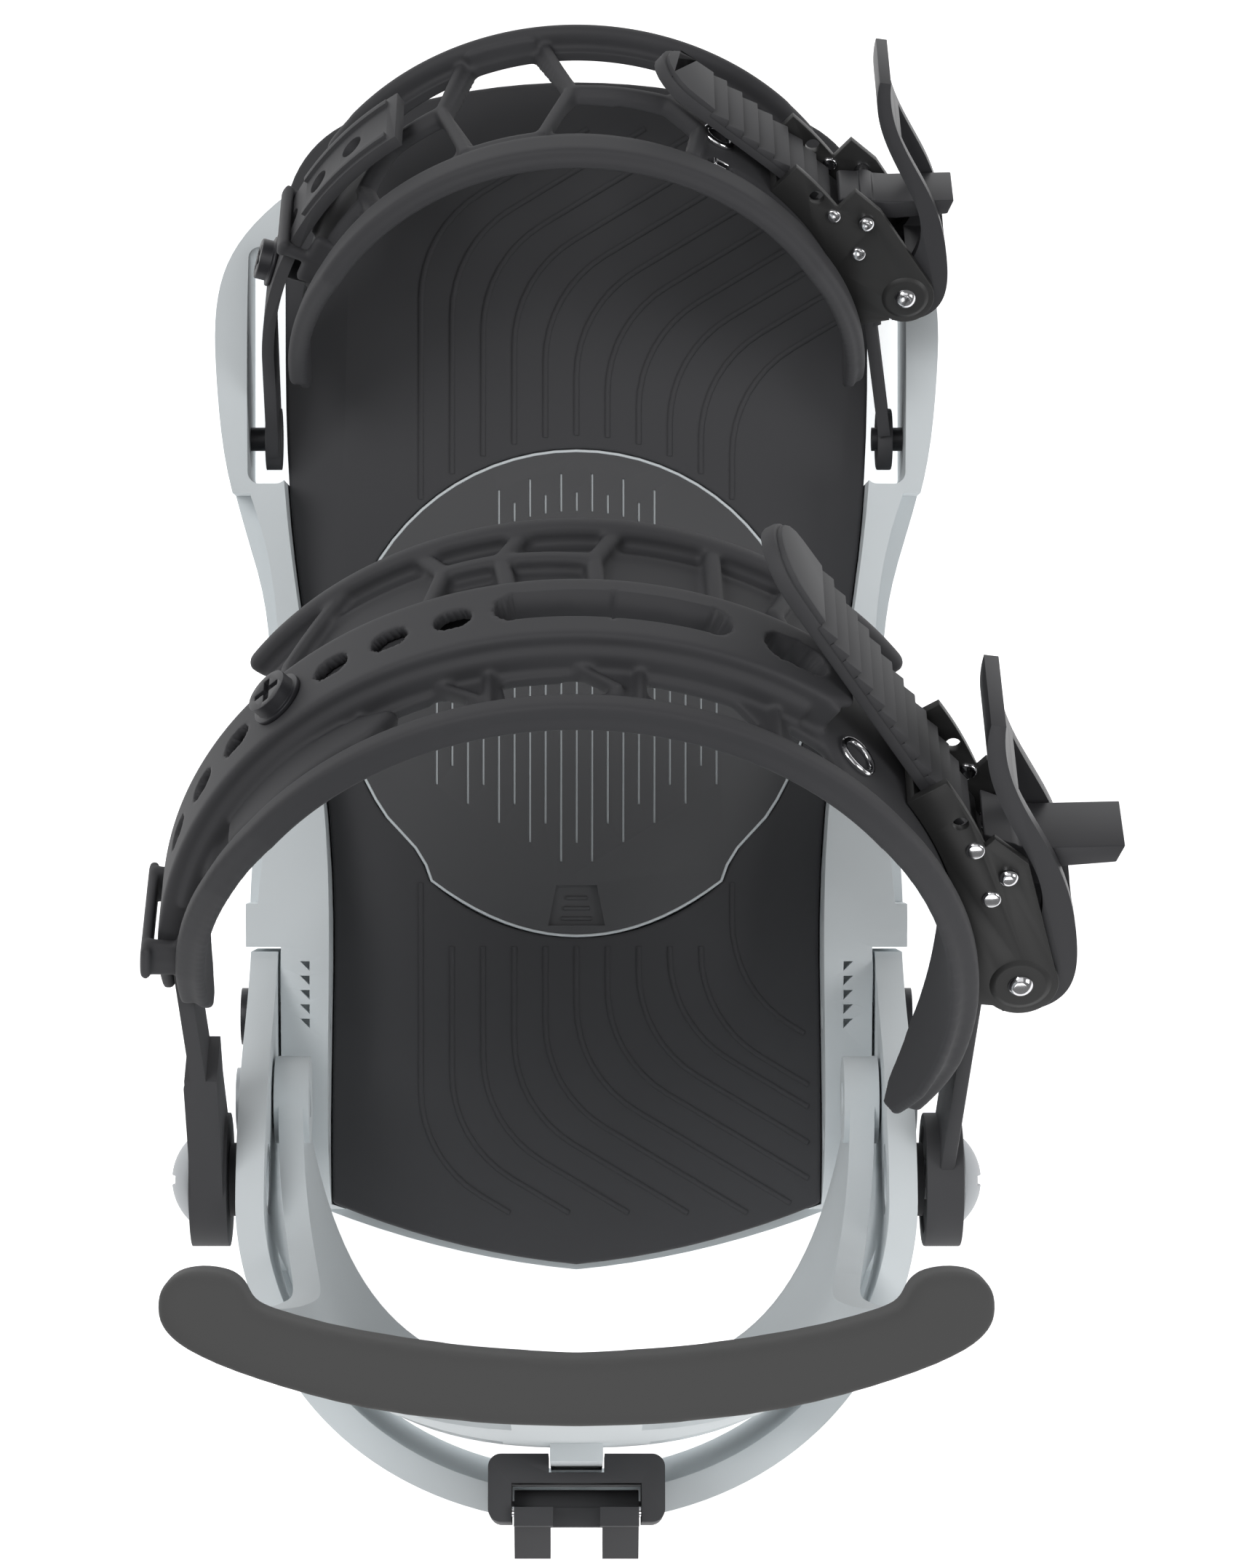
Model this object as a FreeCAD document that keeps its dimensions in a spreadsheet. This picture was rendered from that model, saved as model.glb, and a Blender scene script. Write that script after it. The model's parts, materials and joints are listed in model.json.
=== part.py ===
import FreeCAD, Part
import math
import os
import Sketcher

# A strap binding for a snowboard, in millimetres: +Z up, +Y towards the toe, +X towards the
# buckle side.  The origin is the centre of the mounting disc, on the surface of the board.

doc = FreeCAD.newDocument("StrapBinding")
Vec = FreeCAD.Vector
ALONG_X = FreeCAD.Rotation(Vec(0, 1, 0), 90)

# ---------------------------------------------------------------- driving dimensions
SIZES = [
    # base, footbed and disc
    ("fit_gap", 0.3), ("pin_gap", 0.08), ("pad_thick", 3.0), ("floor_thick", 6.0), ("bed_thick", 7.0),
    ("bed_toe_y", 122.0), ("bed_toe_bow", 7.0), ("bed_toe_round", 18.0), ("bed_toe_half", 61.8),
    ("bed_mid_y", 28.0), ("bed_mid_half", 60.3), ("bed_heel_half", 51.7), ("bed_waist_y", -45.0),
    ("bed_heel_y", -116.0),
    ("bed_heel_point", 13.0), ("lip_wide", 1.8), ("toe_rail_half", 75.3), ("toe_rail_y", 58.0),
    ("waist_half", 65.0), ("waist_y", 2.0), ("cup_step_y", -62.0), ("rear_shoulder_half", 69.0),
    ("rear_rail_half", 61.7), ("base_toe_y", 112.0), ("rail_top", 31.0), ("waist_top", 25.0),
    ("rear_rail_top", 33.0), ("toe_slot_wide", 8.3), ("toe_slot_low_y", 36.0),
    ("toe_slot_high_y", 86.0), ("disc_half", 43.5), ("disc_boss_half", 39.5), ("disc_seat", 5.0),
    ("bolt_spacing", 40.0), ("bolt_hole_r", 3.3), ("bolt_head_r", 5.6), ("bolt_floor", 3.2),
    ("cover_half", 49.0), ("cover_centre_y", -5.5), ("cover_thick", 2.4), ("cover_lobe_half", 30.5),
    ("cover_lobe_y", -59.0), ("cover_shoulder_y", -34.0), ("slit_wide", 0.8), ("slit_pitch", 3.3), ("slit_deep", 1.0),
    # heelcup and highback
    ("cup_half", 68.0), ("cup_wall", 5.7), ("cup_centre_y", -110.0), ("cup_depth", 62.0),
    ("cup_low", 12.0), ("cup_arm_top", 80.0), ("cup_rear_low", 62.0), ("cup_rear_top", 95.0),
    ("cup_bolt_front_y", -76.0), ("cup_bolt_rear_y", -102.0), ("cup_bolt_height", 22.0),
    ("cup_bolt_r", 3.0), ("cup_travel", 10.0), ("back_pivot_y", -92.0), ("back_pivot_z", 48.0),
    ("back_wall", 5.0), ("back_half", 61.2), ("back_top_half", 66.0), ("back_top_z", 240.0),
    ("back_top_rear_y", -131.0), ("back_low_rear_y", -160.0), ("back_pin_r", 3.5), ("ear_r", 9.5),
    ("top_pad_half", 69.0), ("top_pad_thick", 11.5), ("top_pad_tall", 15.0), ("top_pad_front", -113.0),
    ("lean_block_half", 17.0), ("lean_block_tall", 20.0), ("lean_block_deep", 13.0),
    ("lean_rack_half", 5.0), ("lean_pin_r", 1.5), ("lean_travel", 12.0), ("lean_gap", 2.2),
    # ankle strap, in the plane of its arch
    ("ankle_y", -107.0), ("ankle_z", 65.0), ("ankle_tilt", 38.3), ("ankle_bolt_r", 4.0),
    ("ankle_eye_r", 13.5), ("ankle_eye_in", 70.0), ("ankle_eye_out", 77.5), ("ankle_head_r", 8.5),
    ("arch_centre", 66.5), ("liner_in", 71.0), ("liner_thick", 3.0), ("spine_out", 80.5),
    ("band_thick", 3.0), ("strap_half_wide", 30.0), ("spine_low", -5.0), ("spine_high", 13.0),
    ("extender_half", 6.8), ("hole_pitch", 9.0), ("strap_screw_angle", 133.5),
    ("ladder_half", 9.5), ("ladder_tooth", 1.3), ("ladder_tail", 62.0), ("ladder_leave", 31.0),
    ("frame_plate", 1.7), ("frame_half", 13.0), ("lever_pin_out", 85.5), ("lever_pin_angle", -2.3),
    ("lever_pin_r", 2.2), ("release_pin_out", 85.0), ("release_pin_angle", 16.0),
    ("release_pin_r", 1.6), ("rivet_r", 1.9), ("lever_swing", 55.0), ("release_swing", 12.0),
    ("band_gap", 0.7), ("ladder_gap", 0.6), ("bore_gap", 0.1), ("rivet_angle_low", 12.8),
    ("rivet_angle_high", 21.6), ("strap_screw_r", 3.0), ("strap_screw_head_r", 4.6),
    ("screw_nut_thick", 1.5), ("ladder_pitch", 3.6),
    # toe strap, in the plane of its arch
    ("toe_y", 46.0), ("toe_z", 18.0), ("toe_tilt", 38.0), ("toe_pin_r", 2.5), ("toe_arm_r", 6.5),
    ("toe_arch_centre", 25.0), ("toe_liner_in", 55.5), ("toe_liner_thick", 2.2), ("toe_out", 62.0),
    ("toe_half_wide", 24.0), ("toe_band_thick", 2.5), ("toe_ladder_half", 8.0),
    ("toe_ladder_tail", 30.0), ("toe_ladder_leave", 50.0), ("toe_frame_half", 11.0),
    ("toe_lever_pin_out", 69.5), ("toe_lever_pin_angle", 14.5), ("toe_release_pin_out", 68.5),
    ("toe_release_pin_angle", 31.0), ("toe_screw_angle", 163.0), ("toe_screw_r", 2.5),
    ("toe_ladder_tooth", 1.1), ("toe_ladder_pitch", 4.4), ("toe_rivet_angle_low", 26.0),
    ("toe_rivet_angle_high", 35.4), ("toe_screw_head_r", 4.2), ("toe_extender_half", 8.6),
    ("toe_reach", 65.0), ("toe_buckle_scale", 0.8),
]

sheet = doc.addObject("Spreadsheet::Sheet", "Sizes")
for row, (alias, value) in enumerate(SIZES, start=1):
    sheet.set("A%d" % row, alias)
    sheet.set("B%d" % row, str(value))
    sheet.setAlias("B%d" % row, alias)
doc.recompute()

NODES = []


def size(alias):
    """The value of one driving dimension."""
    return float(sheet.get(alias))


def keep(thing, label):
    """Name an object as a sub-part that gets a file of its own."""
    thing.Label = label
    NODES.append(thing)
    return thing


# ---------------------------------------------------------------- helpers for document objects
def cylinder(name, radius, height, at=(0, 0, 0), turn=None):
    """A Part::Cylinder whose sizes are expressions on the sheet."""
    thing = doc.addObject("Part::Cylinder", name)
    thing.setExpression("Radius", radius)
    thing.setExpression("Height", height)
    thing.Placement = FreeCAD.Placement(Vec(*at), turn or FreeCAD.Rotation())
    return thing


def sphere(name, radius, at=(0, 0, 0)):
    """A Part::Sphere whose radius is an expression on the sheet."""
    thing = doc.addObject("Part::Sphere", name)
    thing.setExpression("Radius", radius)
    thing.Placement = FreeCAD.Placement(Vec(*at), FreeCAD.Rotation())
    return thing


def box(name, length, width, height, at=(0, 0, 0), turn=None):
    """A Part::Box whose sizes are expressions on the sheet."""
    thing = doc.addObject("Part::Box", name)
    thing.setExpression("Length", length)
    thing.setExpression("Width", width)
    thing.setExpression("Height", height)
    thing.Placement = FreeCAD.Placement(Vec(*at), turn or FreeCAD.Rotation())
    return thing


def join(name, things):
    """A Part::MultiFuse of the things."""
    fuse = doc.addObject("Part::MultiFuse", name)
    fuse.Shapes = things
    return fuse


def cut(name, base, tool):
    """A Part::Cut of the tool from the base."""
    result = doc.addObject("Part::Cut", name)
    result.Base = base
    result.Tool = tool
    return result


def group(name, things):
    """Identical fasteners that share one node as separate solids."""
    result = doc.addObject("Part::Compound", name)
    result.Links = things
    return result


def feature(name, shape, placement=None):
    """A Part::Feature holding a shape worked out from the sheet."""
    thing = doc.addObject("Part::Feature", name)
    thing.Shape = shape
    if placement is not None:
        thing.Placement = placement
    return thing


def origin_plane(body, role):
    """One of the body's own origin planes."""
    return [item for item in body.Origin.OriginFeatures if item.Role == role][0]


def polygon_sketch(body, name, role, corners):
    """A closed sketch on an origin plane, each corner's place bound to a pair of expressions."""
    sketch = body.newObject("Sketcher::SketchObject", name)
    sketch.AttachmentSupport = [(origin_plane(body, role), "")]
    sketch.MapMode = "FlatFace"
    places = [(sheet.evalExpression(first), sheet.evalExpression(second)) for first, second in corners]
    count = len(places)
    for index in range(count):
        here = places[index]
        there = places[(index + 1) % count]
        sketch.addGeometry(Part.LineSegment(Vec(here[0], here[1], 0), Vec(there[0], there[1], 0)))
    for index in range(count):
        sketch.addConstraint(Sketcher.Constraint("Coincident", index, 2, (index + 1) % count, 1))
    for index, pair in enumerate(corners):
        for axis, text, value in (("X", pair[0], places[index][0]), ("Y", pair[1], places[index][1])):
            if abs(value) < 1e-9:
                axis_line = -2 if axis == "X" else -1
                sketch.addConstraint(Sketcher.Constraint("PointOnObject", index, 1, axis_line))
            else:
                made = sketch.addConstraint(
                    Sketcher.Constraint("Distance" + axis, -1, 1, index, 1, value))
                sketch.setExpression("Constraints[%d]" % made, in_sheet(text))
    return sketch


def in_sheet(text):
    """The expression with each alias written as a cell of the sheet."""
    out = ""
    word = ""
    for letter in text + " ":
        if letter.isalpha() or letter == "_" or (word and letter.isdigit()):
            word += letter
        else:
            out += ("Sizes." + word) if word in ALIASES else word
            word = ""
            out += letter
    return out.strip()


ALIASES = set(alias for alias, value in SIZES)


def pad(body, sketch, length, lift=None, symmetric=False):
    """Pad a sketch; a lift moves the sketch along its normal first."""
    if lift is not None:
        sketch.setExpression("AttachmentOffset.Base.z", in_sheet(lift))
    made = body.newObject("PartDesign::Pad", body.Name + "_pad")
    made.Profile = sketch
    made.setExpression("Length", in_sheet(length))
    made.Midplane = symmetric
    return made


def through_pocket(body, sketch, name):
    """Pocket a sketch through all, both ways, and check that it took material away."""
    doc.recompute()
    before = body.Shape.Volume
    made = body.newObject("PartDesign::Pocket", name)
    made.Profile = sketch
    made.Type = "ThroughAll"
    made.Midplane = True
    doc.recompute()
    if body.Shape.Volume >= before - 0.01:
        raise RuntimeError(name + " cuts nothing")
    return made


# ---------------------------------------------------------------- helpers for plain shapes
def prism(points, low, high):
    """An upright prism on a polygon of (x, y) points."""
    wire = Part.makePolygon([Vec(x, y, low) for x, y in points] + [Vec(points[0][0], points[0][1], low)])
    return Part.Face(wire).extrude(Vec(0, 0, high - low))


def side_prism(points, low_x, high_x):
    """A prism along X on a polygon of (y, z) points."""
    corners = [Vec(low_x, y, z) for y, z in points]
    return Part.Face(Part.makePolygon(corners + corners[:1])).extrude(Vec(high_x - low_x, 0, 0))


def smooth(points):
    """A smooth edge through the points."""
    curve = Part.BSplineCurve()
    curve.interpolate(points)
    return curve.toShape()


def rod(radius, start, end):
    """A solid cylinder between two points."""
    return Part.makeCylinder(radius, end.sub(start).Length, start, end.sub(start))


def arc_edge(centre, radius, start, end):
    """An arc round a centre (x, y), its angles in degrees."""
    points = [Vec(centre[0] + radius * math.cos(math.radians(angle)),
                  centre[1] + radius * math.sin(math.radians(angle)), 0)
              for angle in (start, (start + end) / 2.0, end)]
    return Part.Arc(*points).toShape()


def arch_band(centre, inner, outer, start, end, low, high, start_tail=0.0, end_tail=0.0):
    """A strip bent round an arch from start to end degrees, with straight tangent tails."""
    first = math.radians(start)
    last = math.radians(end)
    back = Vec(math.sin(first), -math.cos(first), 0) * start_tail
    ahead = Vec(-math.sin(last), math.cos(last), 0) * end_tail
    middle = Vec(0, centre, 0)

    def rim(radius, angle):
        return middle.add(Vec(radius * math.cos(angle), radius * math.sin(angle), 0))

    edges = [arc_edge((0, centre), outer, start, end)]
    corner = rim(outer, last)
    if end_tail:
        edges.append(Part.makeLine(corner, corner.add(ahead)))
        corner = corner.add(ahead)
    target = rim(inner, last).add(ahead) if end_tail else rim(inner, last)
    edges.append(Part.makeLine(corner, target))
    if end_tail:
        edges.append(Part.makeLine(target, rim(inner, last)))
    edges.append(arc_edge((0, centre), inner, end, start))
    corner = rim(inner, first)
    if start_tail:
        edges.append(Part.makeLine(corner, corner.add(back)))
        corner = corner.add(back)
    target = rim(outer, first).add(back) if start_tail else rim(outer, first)
    edges.append(Part.makeLine(corner, target))
    if start_tail:
        edges.append(Part.makeLine(target, rim(outer, first)))
    face = Part.Face(Part.Wire(Part.sortEdges(edges)[0]))
    band = face.extrude(Vec(0, 0, high - low))
    band.translate(Vec(0, 0, low))
    return band


def on_arch(centre, radius, angle, across=0.0):
    """The placement on an arch whose Z points outwards, X along the strap, Y across it."""
    turn = math.radians(angle)
    outward = Vec(math.cos(turn), math.sin(turn), 0)
    along = Vec(-math.sin(turn), math.cos(turn), 0)
    rotation = FreeCAD.Rotation(along, Vec(0, 0, 1), outward, "ZXY")
    return FreeCAD.Placement(Vec(0, centre, across).add(outward * radius), rotation)


def arch_point(centre, radius, angle, across=0.0):
    """A point on an arch."""
    turn = math.radians(angle)
    return Vec(radius * math.cos(turn), centre + radius * math.sin(turn), across)


def placed(shape, placement):
    """The shape carried to a placement."""
    moved = shape.copy()
    moved.Placement = placement.multiply(moved.Placement)
    return moved


def hexagon(across_corners, height, squash=1.0):
    """A hexagonal cutter on the XY plane, its points along X, centred on the plane."""
    points = []
    for corner in range(6):
        angle = math.radians(60 * corner)
        points.append((across_corners / 2.0 * math.cos(angle),
                       across_corners / 2.0 * math.sin(angle) * squash))
    return prism(points, -height / 2.0, height / 2.0)


def stadium(length, width, height):
    """A round-ended slot cutter along X, centred on the plane."""
    straight = length - width
    middle = Part.makeBox(straight, width, height, Vec(-straight / 2.0, -width / 2.0, -height / 2.0))
    ends = [Part.makeCylinder(width / 2.0, height, Vec(side * straight / 2.0, 0, -height / 2.0))
            for side in (-1, 1)]
    return middle.fuse(ends).removeSplitter()


def soft_edges(shape, radius, wanted):
    """Fillet the edges that a test picks, one group at a time."""
    edges = [edge for edge in shape.Edges if wanted(edge)]
    return shape.makeFillet(radius, edges) if edges else shape


floor_top = size("pad_thick") + size("floor_thick")
bed_top = floor_top + size("bed_thick")
ANKLE = FreeCAD.Placement(Vec(0, size("ankle_y"), size("ankle_z")),
                          FreeCAD.Rotation(Vec(1, 0, 0), size("ankle_tilt")))
TOE = FreeCAD.Placement(Vec(0, size("toe_y"), size("toe_z")),
                        FreeCAD.Rotation(Vec(1, 0, 0), size("toe_tilt")))


# ---------------------------------------------------------------- base
def bed_outline(grow):
    """The footbed's outline, grown by a clearance: a bowed toe, waisted sides, a pointed heel."""
    toe = size("bed_toe_half") + grow
    mid = size("bed_mid_half") + grow
    heel = size("bed_heel_half") + grow
    toe_y = size("bed_toe_y") + grow
    corner_round = size("bed_toe_round")
    bow_end = Vec(toe - corner_round, toe_y - size("bed_toe_bow"), 0)
    corner = Vec(toe, bow_end.y - 1.3 * corner_round, 0)
    bend = Vec(toe - 0.3 * corner_round, bow_end.y - 0.42 * corner_round, 0)
    heel_y = size("bed_heel_y") - grow
    point = Vec(0, heel_y - size("bed_heel_point"), 0)
    right = [corner, Vec(toe, corner.y - 20, 0), Vec(mid, size("bed_mid_y"), 0),
             Vec((mid + heel) / 2.0, (size("bed_mid_y") + size("bed_waist_y")) / 2.0 + 4, 0),
             Vec(heel, size("bed_waist_y"), 0), Vec(heel, heel_y + 30, 0), Vec(heel, heel_y, 0)]
    left = [Vec(-place.x, place.y, 0) for place in right]
    bow = Vec(heel / 2.0, heel_y - size("bed_heel_point") * 0.66, 0)
    edges = [Part.Arc(Vec(-bow_end.x, bow_end.y, 0), Vec(0, toe_y, 0), bow_end).toShape(),
             Part.Arc(bow_end, bend, corner).toShape(),
             smooth(right),
             Part.Arc(right[-1], bow, point).toShape(),
             Part.Arc(point, Vec(-bow.x, bow.y, 0), left[-1]).toShape(),
             smooth(left[::-1]),
             Part.Arc(left[0], Vec(-bend.x, bend.y, 0), Vec(-bow_end.x, bow_end.y, 0)).toShape()]
    return Part.Wire(edges)


def flat_solid(wire, low, high):
    """A flat plate on an outline."""
    plate = Part.Face(wire).extrude(Vec(0, 0, high - low))
    plate.translate(Vec(0, 0, low))
    return plate


def base_outline():
    """The baseplate's outline: full toe rails, a waist, a rear shoulder and the heelcup step."""
    lip = size("lip_wide")
    heel_y = size("bed_heel_y")
    right = [Vec(size("bed_toe_half") - size("bed_toe_round"), size("base_toe_y") - 5, 0),
             Vec(size("bed_toe_half") + 2.5, size("base_toe_y") - 17, 0),
             Vec(size("toe_rail_half") - 2.3, size("toe_rail_y") + 25, 0),
             Vec(size("toe_rail_half"), size("toe_rail_y"), 0),
             Vec(size("toe_rail_half") - 2.7, size("toe_rail_y") - 22, 0),
             Vec(size("waist_half") + 1.6, 14, 0), Vec(size("waist_half"), size("waist_y"), 0),
             Vec(size("waist_half") + 1.4, -24, 0),
             Vec(size("rear_shoulder_half"), size("cup_step_y") + size("cup_travel") / 3.0, 0)]
    step = Vec(size("rear_shoulder_half"), size("cup_step_y") + 1.0, 0)
    inner = Vec(size("rear_rail_half"), size("cup_step_y") + 1.0, 0)
    tail = Vec(size("rear_rail_half"), heel_y - 1.0, 0)
    heel = Vec(size("bed_heel_half") + lip, heel_y - 2.0, 0)
    point = Vec(0, heel_y - size("bed_heel_point") - lip, 0)
    bow = Vec(heel.x / 2.0, heel_y - size("bed_heel_point") * 0.66 - lip, 0)

    def flip(place):
        return Vec(-place.x, place.y, 0)

    edges = [Part.Arc(flip(right[0]), Vec(0, size("base_toe_y"), 0), right[0]).toShape(), smooth(right),
             Part.makeLine(right[-1], step), Part.makeLine(step, inner), Part.makeLine(inner, tail),
             Part.makeLine(tail, heel), Part.Arc(heel, bow, point).toShape(),
             Part.Arc(point, flip(bow), flip(heel)).toShape(), Part.makeLine(flip(heel), flip(tail)),
             Part.makeLine(flip(tail), flip(inner)), Part.makeLine(flip(inner), flip(step)),
             Part.makeLine(flip(step), flip(right[-1])), smooth([flip(place) for place in right][::-1])]
    return Part.Wire(edges)


def rail_sides():
    """The rails' side view, a smooth top line over the floor."""
    low = size("pad_thick")
    top = [Vec(-100, size("base_toe_y") + 1, floor_top + 2), Vec(-100, 98, 19),
           Vec(-100, 76, size("rail_top") - 2), Vec(-100, 52, size("rail_top")),
           Vec(-100, 24, size("waist_top") + 2), Vec(-100, 0, size("waist_top")),
           Vec(-100, -32, size("waist_top") + 3), Vec(-100, -56, size("rear_rail_top")),
           Vec(-100, -84, size("rear_rail_top") - 1), Vec(-100, -104, size("rear_rail_top") - 7),
           Vec(-100, size("bed_heel_y") - 1.5, floor_top + 3)]
    end = Vec(-100, size("bed_heel_y") - 1.5, floor_top - 1)
    far = Vec(-100, size("bed_heel_y") - size("bed_heel_point") - 6, floor_top - 1)
    under = Vec(-100, far.y, low)
    front = Vec(-100, top[0].y, low)
    edges = [smooth(top), Part.makeLine(top[-1], end), Part.makeLine(end, far),
             Part.makeLine(far, under), Part.makeLine(under, front), Part.makeLine(front, top[0])]
    return Part.Face(Part.Wire(edges)).extrude(Vec(200, 0, 0))


def make_baseplate():
    """The moulded chassis: floor, side rails, toe strap slots, disc seat and heelcup landings."""
    gap = size("fit_gap")
    low = size("pad_thick")
    blank = flat_solid(base_outline(), low, size("rear_rail_top") + 6)
    bay = flat_solid(bed_outline(gap), floor_top, size("rear_rail_top") + 8)
    body = blank.common(rail_sides()).cut(bay)
    tools = []
    slot_in = size("bed_toe_half") - 1.2
    for side in (-1, 1):
        slot = Part.makeBox(size("toe_slot_wide"), size("toe_slot_high_y") - size("toe_slot_low_y"), 60,
                            Vec(slot_in, size("toe_slot_low_y"), 0))
        upright = [edge for edge in slot.Edges if abs(edge.BoundBox.ZLength - 60) < 0.1]
        slot = slot.makeFillet(2.4, upright)
        pin = rod(size("toe_pin_r"), Vec(55, size("toe_y"), size("toe_z")),
                  Vec(80, size("toe_y"), size("toe_z")))
        cutters = [slot, pin]
        for place in ("cup_bolt_front_y", "cup_bolt_rear_y"):
            cutters.append(rod(size("cup_bolt_r"), Vec(45, size(place), size("cup_bolt_height")),
                               Vec(80, size(place), size("cup_bolt_height"))))
        scoop = [Vec(size("waist_half") + 3.5, 34, 0), Vec(size("waist_half") - 2.2, 4, 0),
                 Vec(size("waist_half") - 0.6, -30, 0), Vec(size("waist_half") + 1.6, -52, 0)]
        outer = [Vec(90, -52, 0), Vec(90, 34, 0)]
        edge = [smooth(scoop), Part.makeLine(scoop[-1], outer[0]), Part.makeLine(outer[0], outer[1]),
                Part.makeLine(outer[1], scoop[0])]
        cutters.append(flat_solid(Part.Wire(edge), size("waist_top") - 7, size("rear_rail_top") + 9))
        for tooth in range(5):
            cutters.append(prism([(size("bed_heel_half") + 4, -64 - 3 * tooth),
                                  (size("bed_heel_half") + 6, -64 - 3 * tooth),
                                  (size("bed_heel_half") + 4, -66 - 3 * tooth)],
                                 size("rear_rail_top") - 4, size("rear_rail_top") + 9))
        if side < 0:
            cutters = [cutter.mirror(Vec(0, 0, 0), Vec(1, 0, 0)) for cutter in cutters]
        tools += cutters
    tools.append(Part.makeCylinder(size("disc_boss_half") + gap, 40))
    tools.append(Part.makeCylinder(size("disc_half") + gap, 40, Vec(0, 0, size("disc_seat") - gap)))
    return keep(feature("baseplate_solid", body.cut(tools)), "baseplate")


def cover_outline(grow):
    """The disc cover's outline: a round head and a narrower lobe towards the heel."""
    centre_y = size("cover_centre_y")
    radius = size("cover_half") + grow
    lobe = size("cover_lobe_half") + grow
    start = math.degrees(math.asin((size("cover_shoulder_y") - centre_y) / radius))
    right = Vec(radius * math.cos(math.radians(start)), size("cover_shoulder_y"), 0)
    neck = Vec(lobe + 3.4, size("cover_shoulder_y") - 6.5, 0)
    foot = Vec(lobe, size("cover_shoulder_y") - 13.5, 0)
    bottom = Vec(0, size("cover_lobe_y") - grow, 0)

    def flip(place):
        return Vec(-place.x, place.y, 0)

    edges = [arc_edge((0, centre_y), radius, 180 - start, start),
             smooth([right, neck, foot]),
             Part.Arc(foot, bottom, flip(foot)).toShape(),
             smooth([flip(foot), flip(neck), flip(right)])]
    return Part.Wire(edges)


def make_footbed():
    """The foam footbed that fills the bay, open round the disc cover."""
    blank = flat_solid(bed_outline(0.0), floor_top, bed_top)
    opening = flat_solid(cover_outline(size("fit_gap") * 2), floor_top - 1, bed_top + 1)
    body = blank.cut(opening)
    body = soft_edges(body, 1.2, lambda edge: edge.BoundBox.ZMin > bed_top - 0.01
                      and edge.BoundBox.DiagonalLength > 90 and abs(edge.CenterOfMass.y) > 60)
    return keep(feature("footbed_solid", body), "footbed")


def make_disc_cover():
    """The thin lid over the disc, with its slits and its finger recess."""
    low = bed_top - size("cover_thick")
    plate = flat_solid(cover_outline(0.0), low, bed_top - 0.2)
    front = size("cover_centre_y") + size("cover_half")
    relief = side_prism([(front + 1, low - 1), (front + 1, bed_top - 0.5), (front - 1.2, low + 0.9),
                         (front - 5, low - 1)], -50, 50)
    cutters = [relief]
    reach = int(32 / size("slit_pitch"))
    for index in range(-reach, reach + 1):
        x = index * size("slit_pitch")
        top = math.sqrt(max(0.0, 37.0 ** 2 - x * x)) - (4 if index % 2 else 0)
        end = -46 + abs(x) * 0.5 + (5 if index % 2 else 0)
        for first, last in ((top, 17), (15, end)):
            cutters.append(Part.makeBox(size("slit_wide"), first - last, size("slit_deep") + 1,
                                        Vec(x - size("slit_wide") / 2.0, last,
                                            bed_top - 0.2 - size("slit_deep"))))
    cutters.append(prism([(-6, -58), (6, -58), (4.2, -48.5), (-4.2, -48.5)], bed_top - 1.5, bed_top + 1))
    return keep(feature("disc_cover_solid", plate.cut(cutters)), "disc_cover")


def make_disc():
    """The mounting disc: a turned flange and boss with four countersunk board-screw holes."""
    body = doc.addObject("PartDesign::Body", "disc_body")
    corners = [("0", "0"), ("disc_boss_half", "0"), ("disc_boss_half", "disc_seat"),
               ("disc_half", "disc_seat"), ("disc_half", "pad_thick + floor_thick - fit_gap"),
               ("0", "pad_thick + floor_thick - fit_gap")]
    sketch = polygon_sketch(body, "disc_section", "XZ_Plane", corners)
    turned = body.newObject("PartDesign::Revolution", "disc_turned")
    turned.Profile = sketch
    turned.ReferenceAxis = (sketch, ["V_Axis"])
    turned.Angle = 360
    doc.recompute()
    holes = body.newObject("Sketcher::SketchObject", "disc_holes")
    holes.AttachmentSupport = [(origin_plane(body, "XY_Plane"), "")]
    holes.MapMode = "FlatFace"
    heads = body.newObject("Sketcher::SketchObject", "disc_heads")
    heads.AttachmentSupport = [(origin_plane(body, "XY_Plane"), "")]
    heads.MapMode = "FlatFace"
    heads.setExpression("AttachmentOffset.Base.z", in_sheet("bolt_floor"))
    half = size("bolt_spacing") / 2.0
    for sketch, radius in ((holes, "bolt_hole_r"), (heads, "bolt_head_r")):
        index = 0
        for across in (-1, 1):
            for along in (-1, 1):
                sketch.addGeometry(Part.Circle(Vec(across * half, along * half, 0), Vec(0, 0, 1),
                                               size(radius)))
                for axis, sign in (("X", across), ("Y", along)):
                    made = sketch.addConstraint(Sketcher.Constraint("Distance" + axis, -1, 1, index, 3,
                                                                    sign * half))
                    sketch.setExpression("Constraints[%d]" % made,
                                         in_sheet("%d * bolt_spacing / 2" % sign))
                made = sketch.addConstraint(Sketcher.Constraint("Radius", index, size(radius)))
                sketch.setExpression("Constraints[%d]" % made, in_sheet(radius))
                index += 1
    through_pocket(body, holes, "disc_bores")
    before = body.Shape.Volume
    seats = body.newObject("PartDesign::Pocket", "disc_seats")
    seats.Profile = heads
    seats.Type = "ThroughAll"
    seats.Reversed = True
    doc.recompute()
    if body.Shape.Volume > before - 1:
        raise RuntimeError("disc_seats cut nothing")
    return keep(body, "disc")


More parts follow.
